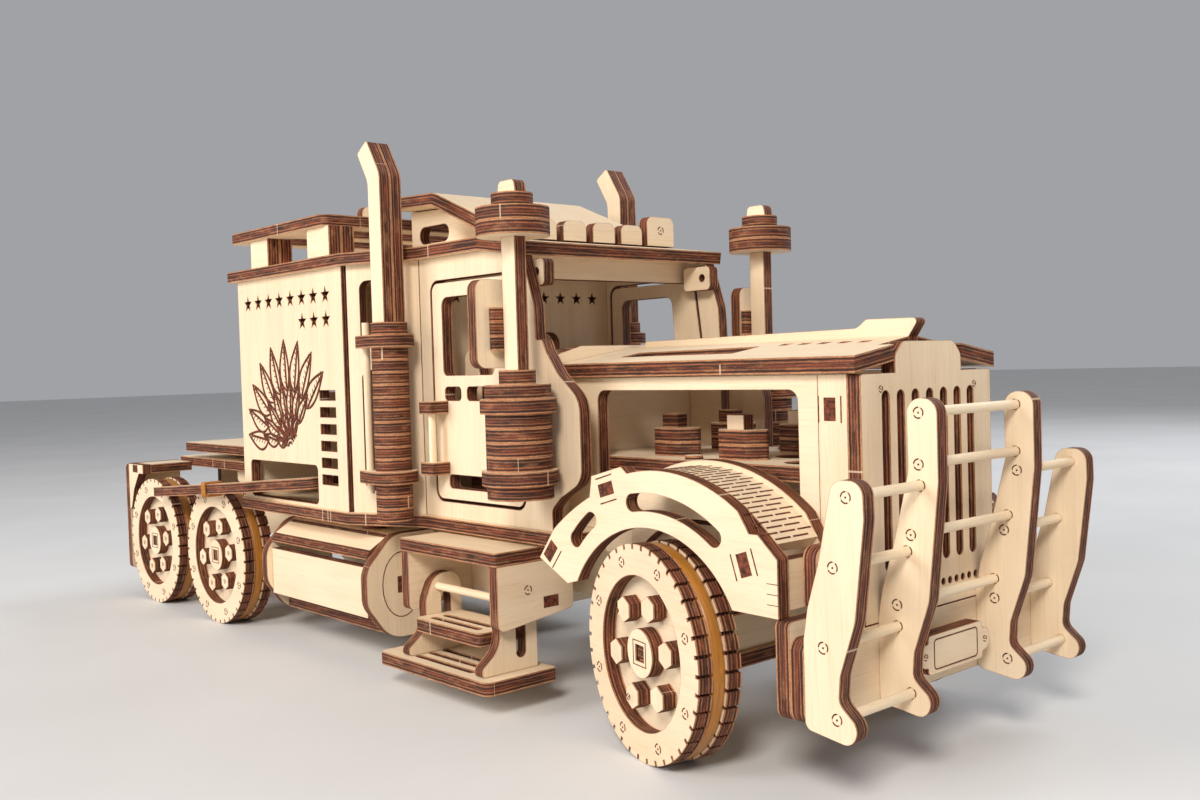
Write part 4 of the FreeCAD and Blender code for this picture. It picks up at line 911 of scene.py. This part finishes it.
# ---- rubber bands ------------------------------------------------------------------------------------

def ring_band(name, centre, axis):
    """A flat rubber band with rounded shoulders round the middle of a wheel, in millimetres."""
    inner, outer, half = 24.02, 27.18, 1.98
    inner_round, middle, turns = 0.3, 25.0, 72
    corner = settings().band_round * 1000
    profile = []
    for cx, cz, start in ((outer - corner, half - corner, 0), (inner + inner_round, half - inner_round, 90),
                          (inner + inner_round, inner_round - half, 180),
                          (outer - corner, corner - half, 270)):
        r = corner if cx > middle else inner_round
        for i in range(5):
            a = math.radians(start + 22.5 * i)
            profile.append((cx + r * math.cos(a), cz + r * math.sin(a)))
    sheets = Sheets(name)
    bm = bmesh.new()
    rings = []
    up = Vector((0, 0, 1))
    across = up.cross(axis).normalized()
    places = {}
    for i in range(turns):
        a = 2 * math.pi * i / turns
        ray = across * math.cos(a) + up * math.sin(a)
        ring = []
        for r, z in profile:
            vert = bm.verts.new(centre + ray * r + axis * z)
            places[vert] = (middle * a, r, z)
            ring.append(vert)
        rings.append(ring)
    count = len(profile)
    for i in range(turns):
        a, b = rings[i], rings[(i + 1) % turns]
        for k in range(count):
            bm.faces.new((a[k], a[(k + 1) % count], b[(k + 1) % count], b[k]))
    bmesh.ops.recalc_face_normals(bm, faces=bm.faces)
    sheets.add(bm, lambda v: places[v], lambda f: FLAT, 0.5, 0)
    bm.free()
    return sheets


def lever_band():
    """A rubber band wound three times round the release lever."""
    points, edges = [], []
    lean = math.radians(4.6)
    loops, spacing, steps = 3, 1.15, 24
    for turn in range(loops):
        first = len(points)
        along = -66 - spacing * turn
        for k in range(steps):
            a = 2 * math.pi * k / steps
            side = max(-1, min(1, 1.5 * math.cos(a)))
            lift = max(-1, min(1, 1.5 * math.sin(a)))
            down = 2.0 + 2.5 * lift
            points.append(Vector((-34 + along * math.cos(lean) - down * math.sin(lean), -60.4 + 3.4 * side,
                                  58.5 + along * math.sin(lean) + down * math.cos(lean))) * MM)
            edges.append((first + k, first + (k + 1) % steps))
    mesh = bpy.data.meshes.new("wound_band")
    mesh.from_pydata(points, edges, [])
    grown = TREES["line"].grow("lever_band", mesh, width=1.1 * MM, material=MATERIALS["rubber"])
    put("lever_band", grown, "lever")


# ---- operators ---------------------------------------------------------------------------------------

class FrameAndDeck(bpy.types.Operator):
    """Give the frame rails, cross members, floor, rear deck and mudguards their plywood finish"""
    bl_idname = "truck_kit.frame_and_deck"
    bl_label = "Frame and deck"

    def execute(self, context):
        finish_sheets("frame_rails", "cross_members", "base_plate", "rear_deck", "mudguards", "front_beam")
        return {"FINISHED"}


class CabAndSleeper(bpy.types.Operator):
    """Finish the cab, sleeper, roof, seats and dashboard"""
    bl_idname = "truck_kit.cab_and_sleeper"
    bl_label = "Cab and sleeper"

    def execute(self, context):
        finish_sheets("cab_sides", "diagonal_walls", "sleeper_sides", "sleeper_back", "cab_partition",
                      "roof_plate", "sun_visor", "roof_rack", "wind_deflector", "marker_lights",
                      "windshield_frame", "dashboard", "seats", "firewall")
        return {"FINISHED"}


class Doors(bpy.types.Operator):
    """Finish the two opening doors"""
    bl_idname = "truck_kit.doors"
    bl_label = "Doors"

    def execute(self, context):
        finish_sheets("door_right", "door_left")
        return {"FINISHED"}


class HoodAndGrille(bpy.types.Operator):
    """Finish the hood, its sides, the radiator and the grille"""
    bl_idname = "truck_kit.hood_and_grille"
    bl_label = "Hood and grille"

    def execute(self, context):
        finish_sheets("hood_panels", "hood_keel", "hood_sides", "radiator_posts", "grille_panel")
        return {"FINISHED"}


class BumperAndGuards(bpy.types.Operator):
    """Finish the bumper, number plate, headlights and the tall guards with their sticks"""
    bl_idname = "truck_kit.bumper_and_guards"
    bl_label = "Bumper and guards"

    def execute(self, context):
        finish_sheets("bumper_sheets", "number_plate", "headlights", "guard_plates")
        finish_sheets("guard_rods", slot="dowel")
        return {"FINISHED"}


class Fenders(bpy.types.Operator):
    """Finish the fender arches and their bent skins with kerf slits"""
    bl_idname = "truck_kit.fenders"
    bl_label = "Fenders"

    def execute(self, context):
        finish_sheets("fender_plates", "fender_skins")
        skin_slits()
        return {"FINISHED"}


class Engine(bpy.types.Operator):
    """Finish the engine deck, its blocks and the rubber motor drum"""
    bl_idname = "truck_kit.engine"
    bl_label = "Engine"

    def execute(self, context):
        finish_sheets("engine_deck", "engine_blocks", "motor_drum")
        sheets = Sheets("motor_bands_rubber")
        for points, triangles in solids_of(NODES["motor_bands"].data):
            bm = loose(points, triangles)
            sheets.add(bm, lambda v: (v.co.z, v.co.x, v.co.y), lambda f: FLAT, 0.5, 0)
            bm.free()
        put(sheets.name, sheets.mesh([MATERIALS["rubber"]]), "chassis", ["motor_bands"])
        return {"FINISHED"}


class StacksAndMirrors(bpy.types.Operator):
    """Finish the air cleaners, exhaust stacks and mirrors"""
    bl_idname = "truck_kit.stacks_and_mirrors"
    bl_label = "Stacks and mirrors"

    def execute(self, context):
        finish_sheets("air_cleaners", "exhausts", "mirrors")
        return {"FINISHED"}


class TanksAndSteps(bpy.types.Operator):
    """Finish the fuel tanks and the cab steps"""
    bl_idname = "truck_kit.tanks_and_steps"
    bl_label = "Tanks and steps"

    def execute(self, context):
        finish_sheets("tank_ends", "tank_slats", "step_boxes", "step_treads")
        return {"FINISHED"}


class FifthWheelAndLever(bpy.types.Operator):
    """Finish the tilting fifth wheel and its release lever"""
    bl_idname = "truck_kit.fifth_wheel_and_lever"
    bl_label = "Fifth wheel and lever"

    def execute(self, context):
        finish_sheets("fifth_wheel_plate", "release_lever")
        lever_band()
        return {"FINISHED"}


class Steering(bpy.types.Operator):
    """Finish the steering knuckles and the track rod"""
    bl_idname = "truck_kit.steering"
    bl_label = "Steering"

    def execute(self, context):
        finish_sheets("knuckle_right", "knuckle_left", "tie_rod")
        return {"FINISHED"}


def wheel_places():
    """(body, band node, centre in mm, axis pointing outwards) of the six wheels."""
    places = []
    for side, sign in (("right", -1), ("left", 1)):
        joint = JOINTS[f"{side}_front_spin"]
        centre = Vector(joint["pos_m"]) * 1000
        axis = Vector(joint["axis"]).normalized() * sign
        places.append((f"{side}_front_wheel", f"front_band_{side}", centre, axis))
    for name in ("mid_axle", "rear_axle"):
        centre = Vector(JOINTS[f"{name}_spin"]["pos_m"]) * 1000
        for sign in (-1, 1):
            axis = Vector((0, sign, 0))
            places.append((name, f"{name}_bands", centre + axis * 50.9, axis))
    return places


class Wheels(bpy.types.Operator):
    """Finish the wheels and axles, with their pin ends and rubber bands"""
    bl_idname = "truck_kit.wheels"
    bl_label = "Wheels"

    def execute(self, context):
        finish_sheets("front_wheel_right", "front_wheel_left", "mid_axle_wheels", "rear_axle_wheels",
                      "mid_axle_shaft", "rear_axle_shaft")
        bands = {}
        for body, node, centre, axis in wheel_places():
            wheel_marks(body, centre, axis)
            bands.setdefault((body, node), []).append(ring_band(node, centre, axis))
        for (body, node), rings in bands.items():
            whole = rings[0]
            for ring in rings[1:]:
                start = len(whole.points)
                whole.points += ring.points
                whole.lay += ring.lay
                whole.rim += ring.rim
                whole.faces += [[start + i for i in face] for face in ring.faces]
                whole.cut += ring.cut
                whole.tone += ring.tone
                whole.kind += ring.kind
                whole.sharp += [(start + a, start + b) for a, b in ring.sharp]
            whole.name = node + "_rubber"
            put(whole.name, whole.mesh([MATERIALS["rubber"]]), body, [node])
        return {"FINISHED"}


class Engraving(bpy.types.Operator):
    """Burn the engraved lines, pin ends, tenon slots and kerf slits into the sheets"""
    bl_idname = "truck_kit.engraving"
    bl_label = "Engraving"

    def execute(self, context):
        side_marks()
        front_marks()
        MARKS.grow()
        return {"FINISHED"}


class Stage(bpy.types.Operator):
    """Plain pale floor, soft studio light and the camera"""
    bl_idname = "truck_kit.stage"
    bl_label = "Stage"

    def execute(self, context):
        make_stage(context.scene)
        return {"FINISHED"}


def lamp(name, place, target, size, power, colour):
    data = bpy.data.lights.new(name, "AREA")
    data.shape = "DISK"
    data.size = size
    data.energy = power
    data.color = colour
    light = bpy.data.objects.new(name, data)
    light.location = place
    light.rotation_euler = (Vector(target) - Vector(place)).to_track_quat("-Z", "Y").to_euler()
    bpy.context.scene.collection.objects.link(light)


def make_stage(scene):
    mesh = bpy.data.meshes.new("floor")
    half = 6.0
    corners = [(-half, -half, 0), (half, -half, 0), (half, half, 0), (-half, half, 0)]
    mesh.from_pydata(corners, [], [(0, 1, 2, 3)])
    material, w, shader = blank_material("pale_floor", 0.75)
    where = w.node("ShaderNodeTexCoord").outputs["Object"]
    clouds = w.noise(where, (9, 9, 9), 4.0)
    colour = w.mix(w.remap(clouds, 0.3, 0.7), (0.66, 0.655, 0.65, 1), (0.71, 0.705, 0.70, 1))
    w.join(colour, shader.inputs["Base Color"])
    mesh.materials.append(material)
    floor = bpy.data.objects.new("floor", mesh)
    scene.collection.objects.link(floor)
    world = bpy.data.worlds.new("studio")
    world.use_nodes = True
    back = world.node_tree.nodes["Background"]
    back.inputs["Color"].default_value = (0.93, 0.95, 1.0, 1)
    back.inputs["Strength"].default_value = 0.38
    scene.world = world
    lamp("key", (0.75, -0.95, 0.85), (0.05, 0, 0.06), 0.40, 14.5, (1.0, 0.945, 0.875))
    lamp("side", (-0.35, -1.15, 0.55), (-0.02, 0, 0.07), 0.6, 9, (1.0, 0.97, 0.94))
    lamp("back", (0.2, 1.1, 0.9), (0, 0, 0.1), 0.8, 8, (0.9, 0.95, 1.0))
    data = bpy.data.cameras.new("camera")
    data.lens = 35.28
    data.sensor_width = 36.0
    camera = bpy.data.objects.new("camera", data)
    camera.location = (0.3514, -0.2544, 0.1003)
    turn = (Matrix.Rotation(math.radians(48.38), 4, "Z") @ Matrix.Rotation(math.radians(88.252), 4, "X")
            @ Matrix.Rotation(math.radians(-1.667), 4, "Z"))
    camera.rotation_euler = turn.to_euler()
    data.clip_start = 0.005
    scene.collection.objects.link(camera)
    scene.camera = camera


OPERATORS = (FrameAndDeck, CabAndSleeper, Doors, HoodAndGrille, BumperAndGuards, Fenders, Engine,
             StacksAndMirrors, TanksAndSteps, FifthWheelAndLever, Steering, Wheels, Engraving, Stage)


class TruckKitPanel(bpy.types.Panel):
    bl_idname = "VIEW3D_PT_truck_kit"
    bl_label = "Truck Kit"
    bl_space_type = "VIEW_3D"
    bl_region_type = "UI"
    bl_category = "Truck Kit"

    def draw(self, context):
        look = context.scene.truck_kit
        for name in TruckKitSettings.__annotations__:
            self.layout.prop(look, name)
        for operator in OPERATORS:
            self.layout.operator(operator.bl_idname)


CLASSES = (TruckKitSettings, *OPERATORS, TruckKitPanel)


def register():
    for item in CLASSES:
        bpy.utils.register_class(item)
    bpy.types.Scene.truck_kit = bpy.props.PointerProperty(type=TruckKitSettings)


def unregister():
    del bpy.types.Scene.truck_kit
    for item in reversed(CLASSES):
        bpy.utils.unregister_class(item)


def main():
    register()
    bpy.context.scene.view_settings.view_transform = "Standard"
    make_materials()
    make_trees()
    for operator in OPERATORS:
        area, name = operator.bl_idname.split(".")
        getattr(getattr(bpy.ops, area), name)()


if __name__ == "__main__":
    main()
